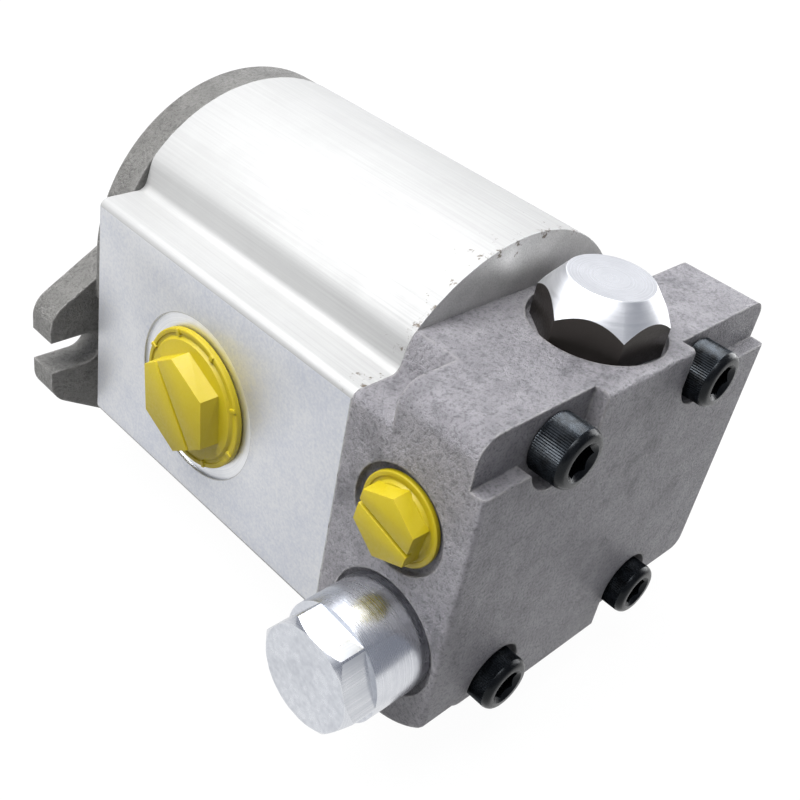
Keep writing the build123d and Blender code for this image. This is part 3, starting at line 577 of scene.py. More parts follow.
@dataclass(frozen=True)
class WorkedMetal(Finish):
    """Bare metal that was cut, drawn, ground or plated: fine lines in its gloss, and dull clouds.

    A tool leaves its lines some hundredths of a mm apart. Here the pitch is 0.3 to 1.5 mm, so
    that they show.
    """

    colour: str = "#c8c9cc"
    dull: str = "#a9abb0"
    roughness: float = 0.32
    marks: Marks = Marks.SPECKLE
    axis: Facing = Facing.FRONT
    middle: tuple[float, float, float] = DRIVE_CENTRE
    pitch: float = 0.6
    depth: float = 0.02
    cloud: float = 12.0
    metallic: float = 1.0
    stained: tuple[Facing, float, float] | None = None
    stain: str = "#4b3d2d"
    stain_size: float = 10 / 3
    rubbed: str = "#e4e5e7"
    wear_width: float = 0.4
    wear: float = 0.6
    stretch: float = 90.0

    def lines(self, tree: bpy.types.NodeTree, place: bpy.types.NodeSocket) -> bpy.types.Node:
        """Adds the height of the tool's marks.

        Args:
            tree: The node tree that it joins.
            place: The place on the piece.

        Returns:
            The node that gives the height, from 0 to 1.
        """
        fine = METRE / self.pitch
        number = self.axis.along()
        if self.marks is Marks.SPECKLE:
            return add_node(
                tree, "ShaderNodeTexNoise", {"Vector": place, "Scale": fine, "Detail": 3.0}
            )
        if self.marks is Marks.LINES:
            scale = [fine] * 3
            scale[number] = METRE / (self.pitch * self.stretch)
            drawn = add_node(
                tree, "ShaderNodeVectorMath", {0: place, 1: scale}, operation="MULTIPLY"
            )
            return add_node(
                tree, "ShaderNodeTexNoise", {"Vector": drawn, "Scale": 1.0, "Detail": 4.0}
            )
        middle = [part * MM for part in self.middle]
        across = [1.0, 1.0, 1.0]
        across[number] = 0.0
        centred = add_node(
            tree, "ShaderNodeVectorMath", {0: place, 1: middle}, operation="SUBTRACT"
        )
        flat = add_node(
            tree, "ShaderNodeVectorMath", {0: centred, 1: across}, operation="MULTIPLY"
        )
        radius = add_node(tree, "ShaderNodeVectorMath", {0: flat}, operation="LENGTH")
        along = add_node(tree, "ShaderNodeSeparateXYZ", {0: centred}).outputs[number]
        run = add_node(
            tree, "ShaderNodeMath", {0: radius.outputs["Value"], 1: along}, operation="ADD"
        )
        return add_node(
            tree,
            "ShaderNodeTexNoise",
            {"W": run, "Scale": fine, "Detail": 3.0, "Roughness": 0.7},
            noise_dimensions="1D",
        )

    def smudge(
        self, tree: bpy.types.NodeTree, place: bpy.types.NodeSocket, colour: bpy.types.NodeSocket
    ) -> bpy.types.NodeSocket:
        """Adds brown stains, which thicken from one place to another along an axis.

        Args:
            tree: The node tree that they join.
            place: The place on the piece.
            colour: The clean colour.

        Returns:
            The stained colour.
        """
        axis, start, end = self.stained
        along = add_node(tree, "ShaderNodeSeparateXYZ", {0: place}).outputs[axis.along()]
        near = add_node(
            tree,
            "ShaderNodeMapRange",
            {"Value": along, "From Min": start * MM, "From Max": end * MM, "To Max": 0.3},
        )
        spots = add_node(
            tree,
            "ShaderNodeTexNoise",
            {
                "Vector": place,
                "Scale": METRE / self.stain_size,
                "Detail": 6.0,
                "Roughness": 0.7,
            },
        )
        both = add_node(tree, "ShaderNodeMath", {0: near, 1: spots}, operation="ADD")
        share = add_node(
            tree,
            "ShaderNodeMapRange",
            {"Value": both, "From Min": 0.86, "From Max": 0.92, "To Max": 0.85},
        )
        return add_node(
            tree, "ShaderNodeMix", {0: share, 6: colour, 7: linear(self.stain)}, data_type="RGBA"
        ).outputs[2]

    def shade(self, tree: bpy.types.NodeTree) -> bpy.types.Node:
        """Adds the finish's nodes.

        Args:
            tree: The material's node tree.

        Returns:
            The shader.
        """
        place = add_node(tree, "ShaderNodeTexCoord").outputs["Object"]
        lines = self.lines(tree, place)
        cloud = add_node(
            tree,
            "ShaderNodeTexNoise",
            {"Vector": place, "Scale": METRE / self.cloud, "Detail": 5.0, "Roughness": 0.6},
        )
        both = add_node(tree, "ShaderNodeMath", {0: cloud, 1: lines}, operation="ADD")
        duller = add_node(
            tree, "ShaderNodeMapRange", {"Value": both, "From Min": 0.8, "From Max": 1.25}
        )
        worn = worn_edges(tree, self.wear_width, self.wear)
        colour = linear(self.colour)
        for mask, over in ((duller, self.dull), (worn, self.rubbed)):
            colour = add_node(
                tree, "ShaderNodeMix", {0: mask, 6: colour, 7: linear(over)}, data_type="RGBA"
            ).outputs[2]
        if self.stained:
            colour = self.smudge(tree, place, colour)
        return self.surface(
            tree,
            (both, 0.7, 1.3, self.roughness - 0.07, self.roughness + 0.1),
            {"Strength": 1.0, "Distance": self.depth * MM, "Height": lines},
            {"Base Color": colour, "Metallic": self.metallic},
        )


@dataclass(frozen=True)
class BlackOxide(Finish):
    """Blackened alloy steel with a film of oil: near black, with steel showing on rubbed edges.

    The film's specks are drawn about 0.6 mm wide, coarser than they are, so that they show.
    """

    colour: str = "#0f1215"
    rubbed: str = "#3f464e"
    roughness: float = 0.27
    grain: float = 5 / 9
    wear_width: float = 0.5
    wear: float = 0.55
    metallic: float = 0.7

    def shade(self, tree: bpy.types.NodeTree) -> bpy.types.Node:
        """Adds the finish's nodes.

        Args:
            tree: The material's node tree.

        Returns:
            The shader.
        """
        place = add_node(tree, "ShaderNodeTexCoord").outputs["Object"]
        grain = add_node(
            tree,
            "ShaderNodeTexNoise",
            {"Vector": place, "Scale": METRE / self.grain, "Detail": 4.0},
        )
        worn = worn_edges(tree, self.wear_width, self.wear)
        colour = add_node(
            tree,
            "ShaderNodeMix",
            {0: worn, 6: linear(self.colour), 7: linear(self.rubbed)},
            data_type="RGBA",
        ).outputs[2]
        return self.surface(
            tree,
            (grain, 0.3, 0.7, self.roughness - 0.08, self.roughness + 0.12),
            {"Strength": 0.6, "Distance": 0.02 * MM, "Height": grain},
            {"Base Color": colour, "Metallic": self.metallic},
        )


@dataclass(frozen=True)
class MouldedPolymer(Finish):
    """Plastic or rubber from a mould: an even colour, scuffed and slightly grained.

    The mould's grain is drawn 0.9 mm wide, coarser than it is, so that it shows. Where there is
    a depth in mm, light goes that far in.
    """

    colour: str
    scuffed: str
    roughness: float
    depth: float = 0.0
    grain: float = 0.9
    scuff: float = 6.25
    wear_width: float = 0.5
    wear: float = 0.6
    ior: float = 1.51

    def shade(self, tree: bpy.types.NodeTree) -> bpy.types.Node:
        """Adds the finish's nodes.

        Args:
            tree: The material's node tree.

        Returns:
            The shader.
        """
        place = add_node(tree, "ShaderNodeTexCoord").outputs["Object"]
        grain, cloud = (
            add_node(
                tree,
                "ShaderNodeTexNoise",
                {"Vector": place, "Scale": METRE / size, "Detail": detail},
            )
            for size, detail in ((self.grain, 5.0), (self.scuff, 4.0))
        )
        scuffs = add_node(
            tree,
            "ShaderNodeMapRange",
            {"Value": cloud, "From Min": 0.42, "From Max": 0.68, "To Max": 0.7},
        )
        worn = worn_edges(tree, self.wear_width, self.wear)
        rubbed = add_node(tree, "ShaderNodeMath", {0: scuffs, 1: worn}, operation="MAXIMUM")
        colour = add_node(
            tree,
            "ShaderNodeMix",
            {0: rubbed, 6: linear(self.colour), 7: linear(self.scuffed)},
            data_type="RGBA",
        ).outputs[2]
        sockets = {"Base Color": colour, "IOR": self.ior}
        if self.depth:
            sockets |= {
                "Subsurface Weight": 0.3,
                "Subsurface Scale": self.depth * MM,
                "Subsurface Radius": (1.0, 0.75, 0.2),
            }
        return self.surface(
            tree,
            (grain, 0.3, 0.7, self.roughness - 0.06, self.roughness + 0.1),
            {"Strength": 0.5, "Distance": 0.03 * MM, "Height": grain},
            sockets,
        )


def dress(node: str, finish: Finish) -> bpy.types.Object:
    """Gives a CAD node's material slots a finish.

    Args:
        node: The node's name.
        finish: The finish.

    Returns:
        The node.
    """
    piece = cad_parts[node]
    for slot in piece.material_slots:
        slot.material = finish.material()
    return piece


def paint(
    piece: bpy.types.Object, main: Finish, others: Sequence[tuple[Finish, Test]] = ()
) -> None:
    """Gives a new piece its finishes, face by face.

    Args:
        piece: The new piece.
        main: The finish of every face that no test takes.
        others: More finishes, each with a test on a face's middle and its normal. The last
            test that takes a face settles it.
    """
    for finish in (main, *[finish for finish, _ in others]):
        piece.data.materials.append(finish.material())
    for face in piece.data.polygons:
        face.material_index = 0
        for number, (_, wanted) in enumerate(others, 1):
            if wanted(face.center / MM, face.normal):
                face.material_index = number


# Finishes of this pump

# Grey iron, sand cast and left so: a dull grey pebbled skin, and darker on the flange, partly its
# own tone and partly painted shade
CAST_IRON = SandCastIron("sand_cast_grey_iron")
FLANGE_IRON_AND_SHADE = SandCastIron(
    "sand_cast_grey_iron_flange_and_shade", skin="#747370", pit="#3f3e3c", grain=1.0
)

# Grey iron, turned: satin grey with fine rings
TURNED_IRON = WorkedMetal(
    "turned_grey_iron", "#8e9094", "#6f7175", 0.36, Marks.RINGS, Facing.FRONT, pitch=0.5
)

# Aluminium, extruded: a pale matt skin with faint lines along it, stained at its rear end
EXTRUDED_SKIN = WorkedMetal(
    "extruded_aluminium_skin",
    "#a1a1a0",
    "#999998",
    0.6,
    Marks.LINES,
    Facing.FRONT,
    pitch=0.5,
    depth=0.003,
    cloud=25,
    metallic=0.25,
    stained=(Facing.FRONT, -96.0, -127.0),
)

# Aluminium, milled flat: paler, cooler and a little glossier than the skin
MILLED_SIDE = WorkedMetal(
    "milled_aluminium_side",
    "#cccdcf",
    "#bcbfc7",
    0.46,
    pitch=0.8,
    depth=0.003,
    cloud=22,
    metallic=0.8,
)

# Aluminium, sawn: a grey end with brown stains under the dome
MILLED_END = WorkedMetal(
    "sawn_aluminium_end",
    "#b9b8b6",
    "#a09f9d",
    0.5,
    pitch=0.5,
    depth=0.006,
    cloud=9,
    metallic=0.6,
    stained=(Facing.UP, 60.0, 84.0),
)

# Aluminium, spot faced about the ports: bright fine rings
PORT_FACE = WorkedMetal(
    "turned_aluminium_face",
    "#e6e7e9",
    "#d6d8dc",
    0.4,
    Marks.RINGS,
    Facing.LEFT,
    PORT_CENTRE,
    pitch=0.4,
    depth=0.01,
)

# Aluminium, bored: bright and smooth
BORED_ALUMINIUM = WorkedMetal(
    "bored_aluminium", "#d4d5d8", "#c0c2c6", 0.3, pitch=0.5, depth=0.01
)

# Alloy steel, blackened and oiled: near black with a soft gloss
BLACKENED = BlackOxide("blackened_alloy_steel")

# The plug's six flats under its turned cone: dark brown to near black, a painted dark reflection of
# their surroundings
PAINTED_REFLECTION_FLAT = BlackOxide("flat_with_painted_dark_reflection", "#3a3633", "#6a655e", 0.4)

# Steel, ground or drawn: bright, with fine lines along it or rings about its shaft
SLEEVE_STEEL = WorkedMetal(
    "ground_sleeve_steel", "#b9bbbf", "#9c9fa3", 0.28, Marks.LINES, Facing.FRONT, pitch=0.3
)
GEAR_STEEL, DRIVEN_STEEL = (
    WorkedMetal(
        name, "#b4b6ba", "#94979c", 0.25, Marks.RINGS, Facing.FRONT, middle, pitch=0.35, depth=0.008
    )
    for name, middle in (
        ("ground_gear_steel", DRIVE_CENTRE),
        ("ground_gear_steel_driven", DRIVEN_CENTRE),
    )
)
KEY_STEEL = WorkedMetal(
    "drawn_key_steel", "#9fa1a3", "#84868a", 0.34, Marks.LINES, Facing.FRONT, pitch=0.4
)
VALVE_STEEL = WorkedMetal(
    "ground_valve_steel", "#aeb1b6", "#8f9298", 0.22, pitch=0.4, depth=0.005
)

# Aluminium, die cast: pale grey and satin
BLOCK_ALUMINIUM = WorkedMetal("die_cast_block_aluminium", "#c3c4c4", "#acadad", 0.4, pitch=0.7)

# Bronze, sintered and lined: brown and dull
BUSH_BRONZE = WorkedMetal("lined_bush_bronze", "#8f7a55", "#6d6047", 0.42, pitch=0.4)

# Steel, pressed or coiled: grey, and darker where it is oiled wire
PRESSED_STEEL = WorkedMetal(
    "pressed_steel", "#a5a7aa", "#8b8e92", 0.33, Marks.RINGS, Facing.FRONT, depth=0.01
)
SPRING_STEEL = WorkedMetal("oiled_spring_wire", "#6f7175", "#55575b", 0.3, pitch=0.3)

# Steel bar, zinc plated: bright and cool, with faint rings, a blotched end and brushed flats
PLATED_STEEL = WorkedMetal(
    "zinc_plated_bar_steel",
    "#dadce0",
    "#c9cbd1",
    0.25,
    Marks.RINGS,
    Facing.LEFT,
    RELIEF_CENTRE,
    pitch=0.4,
    depth=0.001,
    cloud=7,
)
PLATED_END = WorkedMetal(
    "zinc_plated_sawn_end", "#d4d7dd", "#c2c5cc", 0.3, pitch=1.5, depth=0.008, cloud=8
)
MILLED_FLAT = WorkedMetal(
    "milled_plated_flat",
    "#cfd1d5",
    "#bfc2c8",
    0.3,
    Marks.LINES,
    Facing.LEFT,
    pitch=0.5,
    depth=0.008,
)

# Bright steel, turned: a silvery cone and a faced disc, both with fine rings
TURNED_STEEL, FACED_STEEL = (
    WorkedMetal(
        name, colour, dull, rough, Marks.RINGS, Facing.UP, SPOOL_CENTRE, pitch, depth, cloud=9
    )
    for name, colour, dull, rough, pitch, depth in (
        ("bright_turned_steel", "#e6e7e9", "#d6d7da", 0.42, 0.45, 0.016),
        ("faced_bright_steel", "#d6d7da", "#c3c4c7", 0.3, 0.35, 0.006),
    )
)

# Nitrile rubber, moulded: black and dull
SEAL_RUBBER = MouldedPolymer("nitrile_rubber", "#191a1b", "#2b2c2d", 0.55)

# Filled nylon, moulded: cream and dull
BACKUP_PLASTIC = MouldedPolymer("filled_nylon_strip", "#d9d3c2", "#c9c2ae", 0.5)

# Polyethylene, moulded: a strong waxy yellow that lets light in a little way
YELLOW_PLASTIC = MouldedPolymer("moulded_polyethylene", "#a29100", "#a6950f", 0.5, depth=1.6)


# Sub-assemblies

@dataclass
class SubAssembly:
    """A group of pieces that is built and dressed together."""

    def build(self) -> list[bpy.types.Object]:
        """Models and dresses the group's pieces.

        Returns:
            The pieces.
        """
        raise NotImplementedError


def stand_in(piece: bpy.types.Object, node: str, body: str) -> bpy.types.Object:
    """Makes a new piece stand for a CAD node.

    Args:
        piece: The new piece.
        node: The node's name.
        body: The body that the piece moves with.

    Returns:
        The piece.
    """
    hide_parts(node)
    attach(piece, body)
    return piece


def pressed_spring(
    node: str, name: str
) -> bpy.types.Object:
    """Copies a coil spring, gives it its finish and shades it smooth.

    Args:
        node: The CAD node's name.
        name: The new piece's name.

    Returns:
        The piece, which stands for the node and stays with the housing.
    """
    piece = copy_node(node, name)
    paint(piece, SPRING_STEEL)
    smooth(piece)
    stand_in(piece, node, "housing")
    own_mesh(piece)
    return piece


@dataclass
class PumpBody(SubAssembly):
    """The extruded body between the two end plates. Radii are about the bore and the ports."""

    edge: float = 0.3
    half_width: float = 55.5
    flank: float = 50.0
    bore_height: float = 20.4
    bore_half_width: float = 40.0
    bore_radius: float = 43.5
    port_radius: float = 29.2
    port_face: tuple[float, float] = (54.0, 55.2)

    def build(self) -> list[bpy.types.Object]:
        """Models and dresses the group's pieces.

        Returns:
            The pieces.
        """
        low, high = (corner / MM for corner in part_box("pump_body"))
        inner, outer = self.port_face

        def rim(place: Vector, direction: Vector) -> bool:
            """Edges of the two cut ends and of the ports' faces, seen from outside."""
            at_end = min(abs(place.y - low.y), abs(place.y - high.y)) < 0.05
            radius = math.hypot(place.x, place.z - self.bore_height)
            outside = abs(place.x) > self.flank or radius > self.bore_radius + 0.5
            return (at_end and outside) or abs(place.x) > self.half_width - 0.05

        def side(place: Vector, normal: Vector) -> bool:
            """The two milled sides."""
            return abs(normal.x) > 0.99 and abs(place.x) > self.half_width - 0.1

        def spot_face(place: Vector, normal: Vector) -> bool:
            """The turned faces about the two ports."""
            return abs(normal.x) > 0.9 and inner < abs(place.x) < outer

        piece = copy_node("pump_body", "body_extrusion")
        round_some(piece, self.edge, rim)
        paint(
            piece,
            EXTRUDED_SKIN,
            [
                (MILLED_SIDE, side),
                (MILLED_END, lambda place, normal: abs(normal.y) > 0.9),
                (BORED_ALUMINIUM, self.machined),
                (PORT_FACE, spot_face),
            ],
        )
        smooth(piece)
        return [stand_in(piece, "pump_body", "housing")]

    def machined(self, place: Vector, normal: Vector) -> bool:
        """Tells whether a face belongs to the ports or to the bore inside.

        Args:
            place: The face's middle in mm.
            normal: Its normal.

        Returns:
            Whether it does.
        """
        x, facing_side, facing_end = abs(place.x), abs(normal.x) > 0.9, abs(normal.y) > 0.9
        port = math.hypot(place.y - PORT_CENTRE[1], place.z - PORT_CENTRE[2])
        bore = math.hypot(place.x, place.z - self.bore_height)
        floor = self.flank < x < self.half_width - 0.5 and facing_side
        wall = port < self.port_radius and x > self.bore_half_width and abs(normal.x) < 0.9
        inside = bore < self.bore_radius and not facing_end and x < self.bore_half_width
        return floor or wall or inside


@dataclass
class RearCover(SubAssembly):
    """The cast cover that holds both valves."""

    front: float = -126.0

    def build(self) -> list[bpy.types.Object]:
        """Models and dresses the group's pieces.

        Returns:
            The pieces.
        """

        def turned(place: Vector, normal: Vector) -> bool:
            """The machined face against the body."""
            return place.y > self.front - 0.05 and normal.y > 0.9

        piece = copy_node("rear_cover", "cover_casting")
        paint(piece, CAST_IRON, [(TURNED_IRON, turned)])
        smooth(piece)
        return [stand_in(piece, "rear_cover", "housing")]


@dataclass
class FrontFlange(SubAssembly):
    """The cast flange with its pilot and two open slots."""

    pilot_radius: float = 41.275
    turned_depth: float = 20.0

    def build(self) -> list[bpy.types.Object]:
        """Models and dresses the group's pieces.

        Returns:
            The pieces.
        """

        def turned(place: Vector, normal: Vector) -> bool:
            """Faces that a lathe cut: the mounting face, the pilot and the bore."""
            radius = math.hypot(place.x, place.z)
            inside = radius < self.pilot_radius + 0.2 and place.y > -self.turned_depth
            return (normal.y > 0.9 and place.y > -0.1) or (inside and normal.y > -0.5)

        piece = copy_node("front_flange", "flange_casting")
        # The flange's darker iron is partly painted shade
        paint(piece, FLANGE_IRON_AND_SHADE, [(TURNED_IRON, turned)])
        smooth(piece)
        return [stand_in(piece, "front_flange", "housing")]


@dataclass
class CoverScrews(SubAssembly):
    """Four socket-head screws with straight-knurled heads, and the sleeves about two of them.

    The crown gives the steps of a head's rounded end: each one's drop below the end and inset.
    """

    head_radius: float = 8.0
    head_height: float = 10.0
    crown: tuple[Step, ...] = (
        (1.9, 0.0),
        (1.7, 0.06),
        (1.1, 0.22),
        (0.5, 0.62),
        (0.15, 1.1),
        (0.0, 1.5),
    )
    shank_radius: float = 5.0
    shank_length: float = 154.9
    shank_chamfer: float = 0.8
    socket_across: float = 8.0
    socket_depth: float = 5.0
    ridges: int = 80
    ridge_depth: float = 0.26
    spins: tuple[float, ...] = (8.0, 41.0, 22.0, 15.0)

    def screw(self) -> bpy.types.Object:
        """Models one screw about +Z, its head's seat at the origin.

        Returns:
            The screw.
        """
        r, h, s = self.head_radius, self.head_height, self.shank_radius
        piece = turn_up(
            "cover_screws_dressed",
            [
                (-self.shank_length, s - self.shank_chamfer),
                (-self.shank_length + self.shank_chamfer, s),
                (0, s),
                (0, r - 0.4),
                (0.4, r),
                (0.9, r),
                *[(h - drop, r - inset) for drop, inset in self.crown],
            ],
            sides=2 * self.ridges,
        )
        step = math.pi / self.ridges

        def valley(place: Vector, normal: Vector) -> bool:
            """Every second corner of the knurled part."""
            odd = round(math.atan2(place.y, place.x) / step) % 2
            return odd == 1 and 0.8 < place.z < h - 1.8 and math.hypot(place.x, place.y) > r - 0.1

        with edit(piece, Grip.VERTS, valley):
            factor = 1 - self.ridge_depth / r
            bpy.ops.transform.resize(value=(factor, factor, 1), center_override=(0, 0, 0))
        corner = corner_radius(self.socket_across)
        hexagon = [(h - self.socket_depth, corner), (h + 1, corner)]
        mouth = [(h - 1.3, corner - 0.65), (h + 0.5, corner + 1.15)]
        combine(piece, turn_up("socket_cutter", hexagon, sides=6), "DIFFERENCE")
        combine(piece, turn_up("mouth_cutter", mouth, sides=48), "DIFFERENCE")
        smooth(piece, 25.0)
        return piece

    def build(self) -> list[bpy.types.Object]:
        """Models and dresses the group's pieces.

        Returns:
            The pieces.
        """
        low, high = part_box("cover_screws")
        inset = self.head_radius * MM
        left, right = low.x + inset, high.x - inset
        bottom, top = low.z + inset, high.z - inset
        under_head = low.y + self.head_height * MM
        places = ((left, top), (right, top), (left, bottom), (right, bottom))
        screw = self.screw()
        copies = []
        for (x, z), spin in zip(places, self.spins):
            twin = bpy.data.objects.new("twin", screw.data.copy())
            bpy.context.scene.collection.objects.link(twin)
            copies.append(seat(twin, Facing.REAR, Vector((x, under_head, z)), spin))
        bpy.data.meshes.remove(screw.data)
        pick(copies[0])
        for twin in copies:
            twin.select_set(True)
        bpy.ops.object.join()
        piece = copies[0]
        piece.name = piece.data.name = "knurled_cover_screws"
        paint(piece, BLACKENED)
        sleeves = dress("dowel_sleeves", SLEEVE_STEEL)
        return [stand_in(piece, "cover_screws", "housing"), sleeves]


@dataclass
class DressedSet(SubAssembly):
    """A group whose solids keep their shape: each node's name with its finish."""

    finishes: ClassVar[dict[str, Finish]]

    def build(self) -> list[bpy.types.Object]:
        """Dresses the group's solids and returns them."""
        return [dress(node, finish) for node, finish in self.finishes.items()]


@dataclass
class GearSet(DressedSet):
    """The two gears with their shafts, and the key."""

    finishes: ClassVar[dict[str, Finish]] = {
        "drive_gear_shaft": GEAR_STEEL,
        "driven_gear_shaft": DRIVEN_STEEL,
        "shaft_key": KEY_STEEL,
    }


@dataclass
class BearingSet(DressedSet):
    """Bearing blocks, bushes, and the seals round and behind them."""

    finishes: ClassVar[dict[str, Finish]] = {
        "front_bearing_block": BLOCK_ALUMINIUM,
        "rear_bearing_block": BLOCK_ALUMINIUM,
        "bearing_bushes": BUSH_BRONZE,
        "front_body_seal": SEAL_RUBBER,
        "rear_body_seal": SEAL_RUBBER,
        "block_seals": SEAL_RUBBER,
        "block_backup_strips": BACKUP_PLASTIC,
    }


@dataclass
class ShaftSeal(DressedSet):
    """The radial shaft seal and the ring that holds it."""

    finishes: ClassVar[dict[str, Finish]] = {
        "shaft_seal_case": PRESSED_STEEL,
        "shaft_seal_lip": SEAL_RUBBER,
        "shaft_seal_spring": SPRING_STEEL,
        "seal_retaining_ring": SPRING_STEEL,
    }


@dataclass
class ReliefValve(SubAssembly):
    """The relief valve: its cap on the left of the cover, and the valve inside."""

    reach: float = 26.5
    bar_radius: float = 16.0
    bar_chamfer: float = 0.5
    hex_across: float = 28.0
    hex_length: float = 8.5
    hex_turn: float = -5.0
    end_radius: float = 14.1
    end_chamfer: float = 1.5
    stub_radius: float = 12.95
    stub_length: float = 15.0
    seal_groove: float = 2.6
    bore_radius: float = 8.5
    end_wall: float = 8.0
    lift: float = 2.5

    def cap(self) -> bpy.types.Object:
        """Models the cap about +Z, the floor of its recess at the origin.

        Returns:
            The cap.
        """
        r, top = self.bar_radius, self.reach
        piece = turn_up(
            "relief_cap_nut",
            [
                *stub_steps(self.stub_radius, self.stub_length, self.seal_groove),
                (0, self.stub_radius - self.seal_groove),
                (0, r - self.bar_chamfer),
                (self.bar_chamfer, r),
                (top - self.end_chamfer, r),
                (top, self.end_radius),
            ],
        )
        shoulder, corner = top - self.hex_length, corner_radius(self.hex_across)
        core = [(shoulder - 1, corner), (top + 3, corner)]
        bore = [(-self.stub_length - 1, self.bore_radius), (top - self.end_wall, self.bore_radius)]
        ring = turn_up("flats_cutter", [(shoulder, 2 * r), (top + 2, 2 * r)], sides=48)
        combine(ring, turn_up("flats_core", core, sides=6, turn=self.hex_turn), "DIFFERENCE")
        combine(piece, ring, "DIFFERENCE")
        combine(piece, turn_up("spring_bore_cutter", bore, sides=64), "DIFFERENCE")
        soften(piece, 0.22, 28.0)
        return piece

    def build(self) -> list[bpy.types.Object]:
        """Models and dresses the group's pieces.

        Returns:
            The pieces.
        """
        low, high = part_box("relief_cap")
        middle = Vector((low.x + self.reach * MM, (low.y + high.y) / 2, (low.z + high.z) / 2))
        piece = seat(self.cap(), Facing.LEFT, middle)
        flats_end = low.x / MM + self.hex_length + 0.4

        def milled(place: Vector, normal: Vector) -> bool:
            """The six flats of the hexagon and the steps behind them."""
            radius = math.hypot(place.y - RELIEF_CENTRE[1], place.z - RELIEF_CENTRE[2])
            return place.x < flats_end and abs(normal.x) < 0.2 and radius < self.bar_radius - 0.6

        paint(
            piece,
            PLATED_STEEL,
            [(MILLED_FLAT, milled), (PLATED_END, lambda place, normal: normal.x < -0.9)],
        )
        smooth(piece)
        return [
            stand_in(piece, "relief_cap", "housing"),
            dress("relief_cap_seal", SEAL_RUBBER),
            dress("relief_shim", PLATED_END),
            pressed_spring(
                "relief_spring", "relief_coil_spring"
            ),
            dress("relief_poppet", VALVE_STEEL),
            dress("relief_seat", VALVE_STEEL),
        ]


@dataclass
class PriorityValve(SubAssembly):
    """The priority spool and the plug over it. The plug's disc is dished by the dish's depth."""

    hex_across: float = 30.0
    hex_turn: float = 54.0
    height: float = 16.7
    disc_radius: float = 11.3
    cone_drop: float = 8.2
    dish: float = 0.3
    stub_radius: float = 13.45
    stub_length: float = 11.0
    seal_groove: float = 2.4
    shift: float = 6.0

    def plug(self) -> bpy.types.Object:
        """Models the plug about +Z, the floor of its recess at the origin.

        Returns:
            The plug.
        """
        corner = corner_radius(self.hex_across)
        top = self.height
        piece = turn_up(
            "top_plug_turned", [(0, corner), (top, corner)], sides=6, turn=self.hex_turn
        )
        slope = (corner - self.disc_radius) / self.cone_drop
        cone = [
            (-1, corner + 2),
            (top - self.cone_drop - 1, corner + slope),
            (top - 0.2, self.disc_radius + 0.2 * slope),
            (top, self.disc_radius - 0.1),
            (top - self.dish / 2, self.disc_radius - 1.0),
            (top - self.dish, 1.0),
        ]
        stub = [
            *stub_steps(self.stub_radius, self.stub_length, self.seal_groove),
            (0.5, self.stub_radius - self.seal_groove),
        ]
        combine(piece, turn_up("cone_core", cone), "INTERSECT")
        combine(piece, turn_up("stub_part", stub), "UNION")
        soften(piece, 0.2, 24.0)
        return piece

    def build(self) -> list[bpy.types.Object]:
        """Models and dresses the group's pieces.

        Returns:
            The pieces.
        """
        low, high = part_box("top_plug")
        floor = high.z - self.height * MM
        middle = Vector(((low.x + high.x) / 2, (low.y + high.y) / 2, floor))
        piece = seat(self.plug(), Facing.UP, middle)
        above = high.z / MM - self.height

        def flat(place: Vector, normal: Vector) -> bool:
            """The six flats, coloured dark as a painted reflection of their surroundings."""
            return abs(normal.z) < 0.35 and place.z > above

        def disc(place: Vector, normal: Vector) -> bool:
            """The faced end."""
            return normal.z > 0.95 and place.z > above

        paint(piece, TURNED_STEEL, [(PAINTED_REFLECTION_FLAT, flat), (FACED_STEEL, disc)])
        smooth(piece)
        return [
            stand_in(piece, "top_plug", "housing"),
            dress("top_plug_seal", SEAL_RUBBER),
            dress("priority_spool", VALVE_STEEL),
            pressed_spring(
                "spool_spring", "spool_coil_spring"
            ),
        ]


